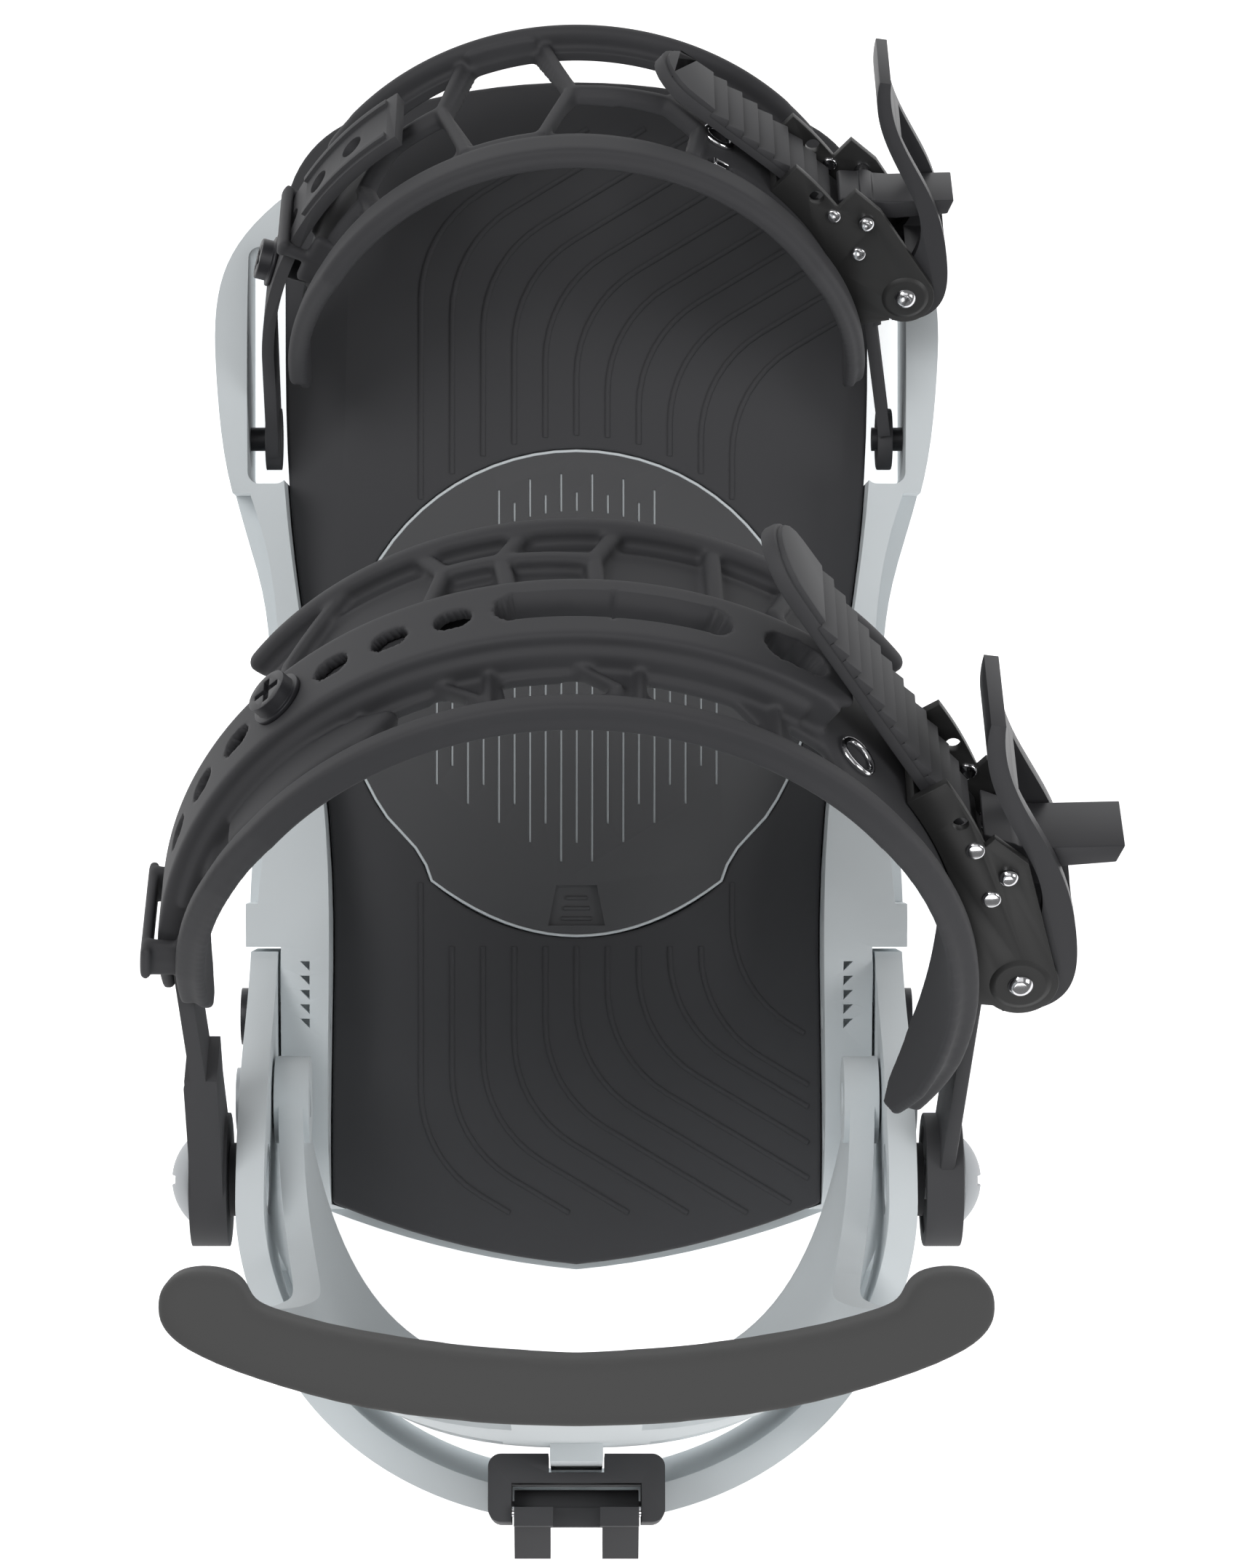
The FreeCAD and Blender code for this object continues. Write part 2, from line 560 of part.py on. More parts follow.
def make_base_pads():
    """Two foam pads under the baseplate that rest on the board."""
    for label, first, last, half, nose in (
            ("base_pad_front", "disc_boss_half + 9", "base_toe_y - 16", "bed_toe_half - 8", 8),
            ("base_pad_rear", "0 - disc_boss_half - 9", "bed_heel_y + 2", "bed_heel_half - 2", 12)):
        body = doc.addObject("PartDesign::Body", label + "_body")
        corners = [("0 - (%s) + %d" % (half, nose), first), (half + " - %d" % nose, first),
                   (half, "(%s) * 0.8 + (%s) * 0.2" % (first, last)), (half, last),
                   ("0 - (%s)" % half, last),
                   ("0 - (%s)" % half, "(%s) * 0.8 + (%s) * 0.2" % (first, last))]
        sketch = polygon_sketch(body, label + "_sketch", "XY_Plane", corners)
        pad(body, sketch, "pad_thick")
        keep(body, label)


# ---------------------------------------------------------------- heelcup and highback
def u_band(half, depth, wall, centre_y, arm, low, high):
    """A U-shaped wall: half an ellipse open towards the toe, with straight arms of a length."""
    edges = []
    for a, b in ((half, depth), (half - wall, depth - wall)):
        ellipse = Part.Ellipse(Vec(a, centre_y, low), Vec(0, centre_y - b, low), Vec(0, centre_y, low)) \
            if a >= b else Part.Ellipse(Vec(0, centre_y - b, low), Vec(a, centre_y, low),
                                        Vec(0, centre_y, low))
        right = Vec(a, centre_y, low)
        left = Vec(-a, centre_y, low)
        first = ellipse.parameter(left)
        last = ellipse.parameter(right)
        if last < first:
            last += 2 * math.pi
        half_way = ellipse.value((first + last) / 2.0)
        if half_way.y > centre_y:
            first, last = last, first + 2 * math.pi
        edges.append(Part.ArcOfEllipse(ellipse, first, last).toShape())
        edges.append(Part.makeLine(right, Vec(a, centre_y + arm, low)))
        edges.append(Part.makeLine(left, Vec(-a, centre_y + arm, low)))
    for side in (-1, 1):
        edges.append(Part.makeLine(Vec(side * half, centre_y + arm, low),
                                   Vec(side * (half - wall), centre_y + arm, low)))
    face = Part.Face(Part.Wire(Part.sortEdges(edges)[0]))
    return face.extrude(Vec(0, 0, high - low))


def make_heelcup():
    """The heelcup: two arms along the rails and a loop that rises behind the heel."""
    centre = size("cup_centre_y")
    front = size("cup_step_y")
    wall = size("cup_wall")
    band = u_band(size("cup_half"), size("cup_depth"), wall, centre, front - centre, 0, 110)
    low = size("cup_low")
    top = size("cup_arm_top")
    rear = centre - size("cup_depth") - 4
    upper = [Vec(-90, front + 0.5, low + 20), Vec(-90, -74, 47), Vec(-90, -88, top - 12),
             Vec(-90, -107, top), Vec(-90, -128, top + 2), Vec(-90, -152, size("cup_rear_top") - 3),
             Vec(-90, rear, size("cup_rear_top"))]
    lower = [Vec(-90, rear, size("cup_rear_low")), Vec(-90, -150, size("cup_rear_low") - 8),
             Vec(-90, -128, 34), Vec(-90, -116, low + 3), Vec(-90, -108, low)]
    edges = [smooth(upper), Part.makeLine(upper[-1], lower[0]), smooth(lower),
             Part.makeLine(lower[-1], Vec(-90, front + 0.5, low)),
             Part.makeLine(Vec(-90, front + 0.5, low), upper[0])]
    body = band.common(Part.Face(Part.Wire(edges)).extrude(Vec(180, 0, 0)))
    tools = []
    for side in (-1, 1):
        near = side * (size("cup_half") - wall - 4)
        far = side * (size("cup_half") + 4)
        for y, z, radius in ((size("ankle_y"), size("ankle_z"), size("ankle_bolt_r")),
                             (size("back_pivot_y"), size("back_pivot_z"), size("back_pin_r"))):
            tools.append(rod(radius, Vec(near, y, z), Vec(far, y, z)))
        inside = side * (size("cup_half") - wall - 1)
        tools.append(rod(size("ankle_bolt_r") + 3.2, Vec(inside, size("ankle_y"), size("ankle_z")),
                         Vec(inside + side * 4.0, size("ankle_y"), size("ankle_z"))))
        for place in ("cup_bolt_front_y", "cup_bolt_rear_y"):
            slot = stadium(2 * size("cup_bolt_r") + size("cup_travel") + 0.8,
                           2 * size("cup_bolt_r") + 0.4, 30)
            slot.Placement = FreeCAD.Placement(
                Vec(side * size("cup_half"), size(place) + size("cup_travel") / 2.0,
                    size("cup_bolt_height")),
                FreeCAD.Rotation(Vec(0, 1, 0), Vec(0, 0, 1), Vec(1, 0, 0), "ZXY"))
            tools.append(slot)
        window = side_prism([(-122, 58), (-131, 66), (-146, 76), (-150, 70), (-138, 60), (-127, 50)],
                            side * 40, side * 75)
        tools.append(window)
    return keep(feature("heelcup_solid", body.cut(tools)), "heelcup")


def back_section(height, grow):
    """The highback's half width, rearmost place and depth at a height (a smooth blend upwards)."""
    top = size("back_top_z")
    rise = (height - 40.0) / (top - 40.0)
    half = size("back_half") - 10.0 * math.sin(math.pi * min(1.0, rise * 1.15)) ** 2 * 0.55
    half += (size("back_top_half") - size("back_half")) * max(0.0, rise) ** 3
    low_rear = size("back_low_rear_y")
    rear = low_rear + (size("back_top_rear_y") - low_rear) * max(0.0, (height - 80.0) / (top - 80.0))
    if height < 80:
        rear += (80 - height) * 0.22
    depth = 24.0 + (1 - rise) ** 2 * 48.0
    return half + grow, rear - grow, depth + grow


def crescent(height, half, rear, depth, wall, square=1.0):
    """A closed crescent wire at a height, of half ellipses that a power under 1 makes squarer."""
    centre_y = rear + depth
    edges = []
    ends = []
    for a, b in ((half, depth), (half - wall, depth - wall)):
        points = []
        for step in range(13):
            angle = math.pi * step / 12.0
            out = math.copysign(abs(math.cos(angle)) ** square, math.cos(angle))
            points.append(Vec(-a * out, centre_y - b * math.sin(angle) ** square, height))
        edges.append(smooth(points))
        ends.append((points[0], points[-1]))
    edges.append(Part.makeLine(ends[0][0], ends[1][0]))
    edges.append(Part.makeLine(ends[0][1], ends[1][1]))
    return Part.Wire(Part.sortEdges(edges)[0])


def make_highback():
    """The highback: a leaning shell with two arms that reach the heelcup pivots."""
    heights = [30.0, 60.0, 100.0, 160.0, size("back_top_z")]
    wires = []
    for height in heights:
        half, rear, depth = back_section(height, 0.0)
        square = 0.76 + 0.24 * min(1.0, max(0.0, (height - 60.0) / (size("back_top_z") - 60.0)))
        wires.append(crescent(height, half, rear, depth, size("back_wall"), square))
    shell = Part.makeLoft(wires, True, False)
    y = size("back_pivot_y")
    z = size("back_pivot_z")
    ear = size("ear_r")
    front = [Vec(-90, y + ear * 0.7, z + ear * 0.7), Vec(-90, y - 14, z + 17), Vec(-90, y - 30, z + 40),
             Vec(-90, y - 33, z + 80), Vec(-90, y - 28, size("back_top_z") - 50),
             Vec(-90, size("top_pad_front") + 1, size("back_top_z") + 5)]
    under = [Vec(-90, -175, 62), Vec(-90, -152, 50), Vec(-90, -128, 38), Vec(-90, y, z - ear)]
    edges = [smooth(front), Part.makeLine(front[-1], Vec(-90, -190, size("back_top_z") + 5)),
             Part.makeLine(Vec(-90, -190, size("back_top_z") + 5), under[0]), smooth(under),
             Part.Arc(under[-1], Vec(-90, y + ear, z), front[0]).toShape()]
    body = shell.common(Part.Face(Part.Wire(edges)).extrude(Vec(180, 0, 0)))
    for side in (-1, 1):
        inside = side * (size("back_half") - size("back_wall") - 1.5)
        outside = side * (size("cup_half") - size("cup_wall") - 0.5)
        body = body.fuse(rod(ear - 0.6, Vec(inside, y, z), Vec(outside, y, z)))
    tools = []
    for side in (-1, 1):
        tools.append(rod(size("back_pin_r") + size("pin_gap"), Vec(side * 45, y, z), Vec(side * 75, y, z)))
        for low, high, inner, outer in ((108, 134, 14, 38), (150, 178, 12, 36)):
            tools.append(Part.makeLoft([
                Part.makePolygon([Vec(side * inner, depth, low + 6), Vec(side * outer, depth, low),
                                  Vec(side * (outer - 5), depth, high), Vec(side * inner, depth, high - 4),
                                  Vec(side * inner, depth, low + 6)]) for depth in (-200, -80)], True, True))
    body = body.cut(tools)
    lean = math.degrees(math.atan2(size("back_top_rear_y") - size("back_low_rear_y"),
                                   size("back_top_z") - 80.0))
    rack = Part.makeBox(2 * size("lean_rack_half"), 8.0, 52.0, Vec(-size("lean_rack_half"), -5.0, 0))
    for tooth in range(12):
        rack = rack.cut(side_prism([(-5.1, 3 + 4 * tooth), (-3.7, 5 + 4 * tooth), (-5.1, 5 + 4 * tooth)],
                                   -size("lean_rack_half") + 1, size("lean_rack_half") - 1))
    rack.Placement = FreeCAD.Placement(Vec(0, size("back_low_rear_y") + 1.2, 84.0),
                                       FreeCAD.Rotation(Vec(1, 0, 0), -lean))
    body = body.fuse(rack).removeSplitter()
    return keep(feature("highback_solid", body), "highback")


def make_highback_pad():
    """The soft cap along the highback's top edge, with round ends that turn forward."""
    low = size("back_top_z")
    rear = size("back_top_rear_y") - 2.0
    half = size("top_pad_half")
    depth = size("top_pad_front") - rear
    wall = size("top_pad_thick")
    cap = Part.Face(crescent(low, half, rear, depth, wall)).extrude(Vec(0, 0, size("top_pad_tall")))
    for side in (-1, 1):
        centre = Vec(side * (half - wall / 2.0), rear + depth, low)
        cap = cap.fuse(Part.makeCylinder(wall / 2.0, size("top_pad_tall"), centre))
    return keep(feature("highback_pad_solid", cap), "highback_pad")


def lean_frame():
    """The frame of the lean adjuster: on the highback's back, its Z up along the shell."""
    lean = math.degrees(math.atan2(size("back_top_rear_y") - size("back_low_rear_y"),
                                   size("back_top_z") - 80.0))
    height = size("cup_rear_top") + 1.5
    rear = size("back_low_rear_y") + (height - 80.0) * math.tan(math.radians(lean))
    return FreeCAD.Placement(Vec(0, rear - size("lean_gap"), height),
                             FreeCAD.Rotation(Vec(1, 0, 0), -lean))


def make_lean_adjuster():
    """The forward-lean block that stands on the heelcup's rim, its lever, pin and rack clamp."""
    place = lean_frame()
    half = size("lean_block_half")
    tall = size("lean_block_tall")
    deep = size("lean_block_deep")
    block = Part.makeBox(2 * half, deep, tall, Vec(-half, -deep, 0))
    block = soft_edges(block, 2.5, lambda edge: abs(edge.BoundBox.ZLength - tall) < 0.1)
    groove = Part.makeBox(2 * size("lean_rack_half") + 0.8, 5.2, 60,
                          Vec(-size("lean_rack_half") - 0.4, -3.6, -20))
    bay = Part.makeBox(2 * half - 9, deep, tall + 2, Vec(-half + 4.5, -deep - 5.6, -1))
    pin_at = Vec(0, -deep + 2.8, 10.5)
    bore = rod(size("lean_pin_r"), Vec(-half - 1, pin_at.y, pin_at.z), Vec(half + 1, pin_at.y, pin_at.z))
    block = block.cut([groove, bay, bore])
    keep(feature("lean_block_solid", block, place), "lean_block")
    pin = cylinder("lean_lever_pin_solid", "Sizes.lean_pin_r", "2 * Sizes.lean_block_half - 1")
    pin.Placement = place.multiply(FreeCAD.Placement(Vec(-half + 0.5, pin_at.y, pin_at.z), ALONG_X))
    keep(pin, "lean_lever_pin")
    lever_half = half - 5.0
    hub = rod(3.6, Vec(-lever_half, pin_at.y, pin_at.z), Vec(lever_half, pin_at.y, pin_at.z))
    plate = Part.makeBox(2 * lever_half, 3.6, 11, Vec(-lever_half, pin_at.y - 3.6, pin_at.z - 0.5))
    legs = []
    for side in (-1, 1):
        legs.append(side_prism([(pin_at.y - 3.6, pin_at.z + 4), (pin_at.y + 1, pin_at.z - 2),
                                (pin_at.y - 7.5, pin_at.z - 6), (pin_at.y - 9.5, pin_at.z - 3)],
                               side * 5.0, side * lever_half))
    lever = hub.fuse([plate] + legs)
    lever = lever.cut([rod(size("lean_pin_r") + size("pin_gap"), Vec(-half, pin_at.y, pin_at.z),
                           Vec(half, pin_at.y, pin_at.z)),
                       Part.makeBox(9, 8, 20, Vec(-4.5, pin_at.y - 8, pin_at.z + 5))])
    keep(feature("lean_lever_solid", lever.removeSplitter(), place), "lean_lever")


# ---------------------------------------------------------------- bolts and pins on the chassis
def make_chassis_fasteners():
    """Heelcup bolts, highback pins, ankle bolts and nuts, and toe anchor pins, in pairs."""
    bolts = []
    for side in (-1, 1):
        turn = FreeCAD.Rotation(Vec(0, 1, 0), 90 * side)
        for place in ("cup_bolt_front_y", "cup_bolt_rear_y"):
            y = size(place)
            z = size("cup_bolt_height")
            name = "%s_%d" % (place[:-2], side + 1)
            shank = cylinder(name + "_shank", "Sizes.cup_bolt_r", "Sizes.cup_half - 53",
                             (side * 53, y, z), turn)
            head = cylinder(name + "_head", "Sizes.cup_bolt_r * 2", "2.2",
                            (side * (size("cup_half") + 0.3), y, z), turn)
            drive = box(name + "_drive", "1.4", "7", "1.2",
                        (side * (size("cup_half") + 2.6) - 0.7, y - 3.5, z - 0.6))
            bolts.append(cut(name, join(name + "_whole", [shank, head]), drive))
    keep(group("heelcup_bolts_group", bolts), "heelcup_bolts")

    pins = []
    for side in (-1, 1):
        turn = FreeCAD.Rotation(Vec(0, 1, 0), 90 * side)
        at = (side * (size("back_half") - size("back_wall") - 1.0), size("back_pivot_y"),
              size("back_pivot_z"))
        shank = cylinder("back_pin_%d" % (side + 1), "Sizes.back_pin_r",
                         "Sizes.cup_half - Sizes.back_half + Sizes.back_wall + 1.2", at, turn)
        head = cylinder("back_pin_head_%d" % (side + 1), "Sizes.back_pin_r * 1.9", "1.6",
                        (side * (size("cup_half") + 0.1), size("back_pivot_y"), size("back_pivot_z")), turn)
        pins.append(join("back_pin_whole_%d" % (side + 1), [shank, head]))
    keep(group("highback_pins_group", pins), "highback_pins")

    bolts = []
    nuts = []
    bushes = []
    for side in (-1, 1):
        turn = FreeCAD.Rotation(Vec(0, 1, 0), 90 * side)
        y = size("ankle_y")
        z = size("ankle_z")
        inner = side * (size("cup_half") - 2.4)
        name = "ankle_bolt_%d" % (side + 1)
        shank = cylinder(name + "_shank", "Sizes.ankle_bolt_r",
                         "Sizes.ankle_eye_out - Sizes.cup_half + 2.8", (inner, y, z), turn)
        dome = sphere(name + "_dome", "Sizes.ankle_head_r * 1.35",
                      (side * (size("ankle_eye_out") + 0.3 - size("ankle_head_r") * 0.88), y, z))
        trim = cylinder(name + "_trim", "Sizes.ankle_head_r", "20",
                        (side * (size("ankle_eye_out") + 0.3), y, z), turn)
        head = doc.addObject("Part::Common", name + "_head")
        head.Base = dome
        head.Tool = trim
        slot = box(name + "_slot", "1.6", "2.0", "9",
                   (side * (size("ankle_eye_out") + 3.6) - 0.8, y - 1.0, z - 4.5))
        bolts.append(cut(name, join(name + "_whole", [shank, head]), slot))
        ring = cylinder(name + "_nut_ring", "Sizes.ankle_bolt_r + 3", "2.6",
                        (side * (size("cup_half") - size("cup_wall") + 0.2), y, z), turn)
        nuts.append(cut(name + "_nut", ring, cylinder(name + "_nut_bore", "Sizes.ankle_bolt_r", "3.3",
                                                     (inner, y, z), turn)))
        sleeve = cylinder(name + "_bush_ring", "Sizes.ankle_bolt_r + 3.4",
                          "Sizes.ankle_eye_in - Sizes.cup_half - 0.2",
                          (side * (size("cup_half") + 0.1), y, z), turn)
        bushes.append(cut(name + "_bush", sleeve,
                          cylinder(name + "_bush_bore", "Sizes.ankle_bolt_r", "20",
                                   (side * (size("cup_half") - 5), y, z), turn)))
    keep(group("ankle_bolts_group", bolts), "ankle_bolts")
    keep(group("ankle_nuts_group", nuts), "ankle_nuts")
    keep(group("ankle_bushes_group", bushes), "ankle_bushes")

    pins = []
    for side in (-1, 1):
        turn = FreeCAD.Rotation(Vec(0, 1, 0), 90 * side)
        start = size("bed_toe_half") + 0.6
        pins.append(cylinder("toe_pin_%d" % (side + 1), "Sizes.toe_pin_r",
                             "Sizes.toe_rail_half - Sizes.bed_toe_half - 4",
                             (side * start, size("toe_y"), size("toe_z")), turn))
    keep(group("toe_anchor_pins_group", pins), "toe_anchor_pins")


# ---------------------------------------------------------------- ankle strap
def ankle_widths():
    """The ankle strap seen from the side: full width at the crown, narrow at both ends."""
    half = size("strap_half_wide")
    crown = size("arch_centre") + size("spine_out") + 2
    return side_prism([(crown, -half), (crown, half), (112, half), (70, 24), (26, 19), (16, 10),
                       (24, -2), (58, -9), (84, -17), (110, -half)], -95, 95)


def make_ankle_strap():
    """The ankle strap's moulded body: liner, rims, hexagon web, holed spine and keeper loop."""
    centre = size("arch_centre")
    inner = size("liner_in")
    skin = inner + size("liner_thick")
    spine = size("spine_out")
    half = size("strap_half_wide")
    low = size("spine_low")
    high = size("spine_high")
    liner = arch_band(centre, inner, skin, -31, 188, -half, half)
    rib = arch_band(centre, skin - 1, spine, 53, 189, low, high)
    upper = arch_band(centre, skin - 1, skin + 3.2, 30, 176, -half, -half + 4.5)
    lower = arch_band(centre, skin - 1, skin + 3.0, -31, 186, half - 5.5, half)
    body = liner.fuse([rib, upper, lower]).common(ankle_widths())
    keeper = arch_band(centre, skin - 0.6, spine + 3.2, 172, 181, low - 3.5, high + 3.0)
    body = body.fuse(keeper)
    tunnel_in = skin + size("band_gap") - size("fit_gap")
    tunnel_out = skin + size("band_gap") + size("band_thick") + size("fit_gap")
    tools = [arch_band(centre, tunnel_in, tunnel_out, 104, 196, low + 1.8, high - 1.8)]
    for index in range(6):
        place = on_arch(centre, skin, 128.0 - 17.0 * index, -12.5)
        tools.append(placed(hexagon(21, 24, 1.0), place))
    for index in range(9):
        if index == 3:
            continue
        angle = size("strap_screw_angle") + (index - 3) * size("hole_pitch")
        if angle < 168:
            tools.append(placed(stadium(6.6, 5.2, 7), on_arch(centre, spine, angle, (low + high) / 2.0)))
    tools.append(placed(Part.makeCylinder(size("strap_screw_r") + size("bore_gap"), 20, Vec(0, 0, -10)),
                        on_arch(centre, spine, size("strap_screw_angle"), (low + high) / 2.0)))
    for start, end in ((69, 101), (54, 64)):
        tools.append(arch_band(centre, inner - 2, spine + 2, start, end, low + 4.5, high - 4.5))
    for start, end in ((62, 96), (100, 124), (30, 56)):
        tools.append(arch_band(centre, inner - 2, spine + 2, start, end, high + 0.5, half - 6.0))
    body = body.cut(tools).removeSplitter()
    return keep(feature("ankle_strap_solid", body, ANKLE), "ankle_strap_body")


def strap_arm(side, mid, leg_angle):
    """The foot of an ankle band: its leg's length, its eye on the pivot axis and the eye's bore."""
    foot = arch_point(size("arch_centre"), mid, leg_angle)
    tail = foot.y / math.cos(math.radians(leg_angle if side > 0 else 180 - leg_angle))
    near = side * size("ankle_eye_in")
    far = side * size("ankle_eye_out")
    eye = rod(size("ankle_eye_r"), Vec(near, 0, 0), Vec(far, 0, 0))
    bore = rod(size("ankle_bolt_r") + size("bore_gap"), Vec(near - side * 3, 0, 0),
               Vec(far + side * 3, 0, 0))
    return tail, eye, bore


def make_ankle_extender():
    """The extender: a ribbed band from the left pivot up into the strap's tunnel."""
    centre = size("arch_centre")
    inner = size("liner_in") + size("liner_thick") + size("band_gap")
    outer = inner + size("band_thick")
    half = size("extender_half")
    middle = (size("spine_low") + size("spine_high")) / 2.0
    tail, eye, bore = strap_arm(-1, (inner + outer) / 2.0, 184)
    band = arch_band(centre, inner, outer, 112, 184, middle - half, middle + half, 0.0, tail)
    web = prism([(-size("ankle_eye_in"), -8), (-size("ankle_eye_out") + 0.5, -8), (-77.2, 34), (-73.4, 34)],
                middle - half, middle + half)
    ramp = side_prism([(0, -12.5), (0, 12.5), (26, middle + half), (36, middle + half),
                       (36, middle - half), (26, middle - half - 1)], -size("ankle_eye_out") + 0.5, -70.6)
    above = side_prism([(-1, -40), (-1, 40), (160, 40), (160, -40)], -95, 95)
    body = eye.fuse([band.common(above), web, ramp])
    tools = [bore]
    for step in range(6):
        y = 16.5 + 4.2 * step
        tools.append(prism([(-79.5, y), (-76.2, y), (-79.5, y + 3)], middle - half + 1, middle + half - 1))
    tools.append(placed(Part.makeCylinder(size("strap_screw_r") + size("bore_gap"), 20, Vec(0, 0, -10)),
                        on_arch(centre, inner, size("strap_screw_angle"), middle)))
    return keep(feature("ankle_extender_solid", body.cut(tools).removeSplitter(), ANKLE), "ankle_extender")


def ladder_shape(centre, inner, thick, tooth, leave, tail, leg_angle, leg_tail, half, pitch_deg, teeth):
    """A toothed ladder band: straight leg, arc through the buckle and a straight round-ended tail."""
    band = arch_band(centre, inner, inner + thick + tooth, leg_angle, leave, -half, half, leg_tail, tail)
    turn = math.radians(leave)
    ahead = Vec(-math.sin(turn), math.cos(turn), 0)
    outward = Vec(math.cos(turn), math.sin(turn), 0)
    top = arch_point(centre, inner + thick + tooth, leave)
    cutters = []
    pitch = math.radians(pitch_deg) * (inner + thick)
    count = int((tail - 2.2 * half) / pitch)
    for index in range(count):
        start = top.add(ahead * (index * pitch)).add(outward * 0.6)
        notch = [start.add(ahead * (0.14 * pitch)), start.add(ahead * (0.9 * pitch)),
                 start.add(ahead * (0.2 * pitch)).add(outward * (-tooth - 0.6))]
        face = Part.Face(Part.makePolygon(notch + notch[:1]))
        cutters.append(face.extrude(Vec(0, 0, 2 * half - 3)).translated(Vec(0, 0, -half + 1.5)))
    for index in range(teeth):
        angle = leave - (index + 1) * pitch_deg
        notch = [arch_point(centre, inner + thick + tooth + 0.6, angle + 0.14 * pitch_deg),
                 arch_point(centre, inner + thick + tooth + 0.6, angle + 0.9 * pitch_deg),
                 arch_point(centre, inner + thick, angle + 0.2 * pitch_deg)]
        face = Part.Face(Part.makePolygon(notch + notch[:1]))
        cutters.append(face.extrude(Vec(0, 0, 2 * half - 3)).translated(Vec(0, 0, -half + 1.5)))
    tip = top.add(ahead * (tail - half))
    blank = rod(half, tip.add(outward * 4), tip.add(outward * -8))
    corner_box = Part.makeBox(2.4 * half, 2.4 * half, 12, Vec(0, -1.2 * half, -6))
    corner_box.Placement = FreeCAD.Placement(
        tip.add(outward * -2), FreeCAD.Rotation(ahead, Vec(0, 0, 1), outward, "ZXY"))
    return band.cut(cutters).cut(corner_box.cut(blank))


def make_ankle_ladder():
    """The ankle ladder: from the right pivot, through the buckle, to its free end."""
    centre = size("arch_centre")
    inner = size("liner_in") + size("liner_thick") + size("frame_plate") + size("ladder_gap")
    outer = inner + size("band_thick") + size("ladder_tooth")
    half = size("ladder_half")
    mid = (inner + outer) / 2.0
    tail, eye, bore = strap_arm(1, mid, -4)
    ladder = ladder_shape(centre, inner, size("band_thick"), size("ladder_tooth"), size("ladder_leave"),
                          size("ladder_tail"), -4, tail, half, size("ladder_pitch"), 14)
    web = prism([(size("ankle_eye_in"), -6), (size("ankle_eye_out") - 0.5, -6), (78.4, 30), (75.4, 30)],
                -half, half)
    body = eye.fuse([ladder, web]).cut(bore).removeSplitter()
    return keep(feature("ankle_ladder_solid", body, ANKLE), "ankle_ladder")


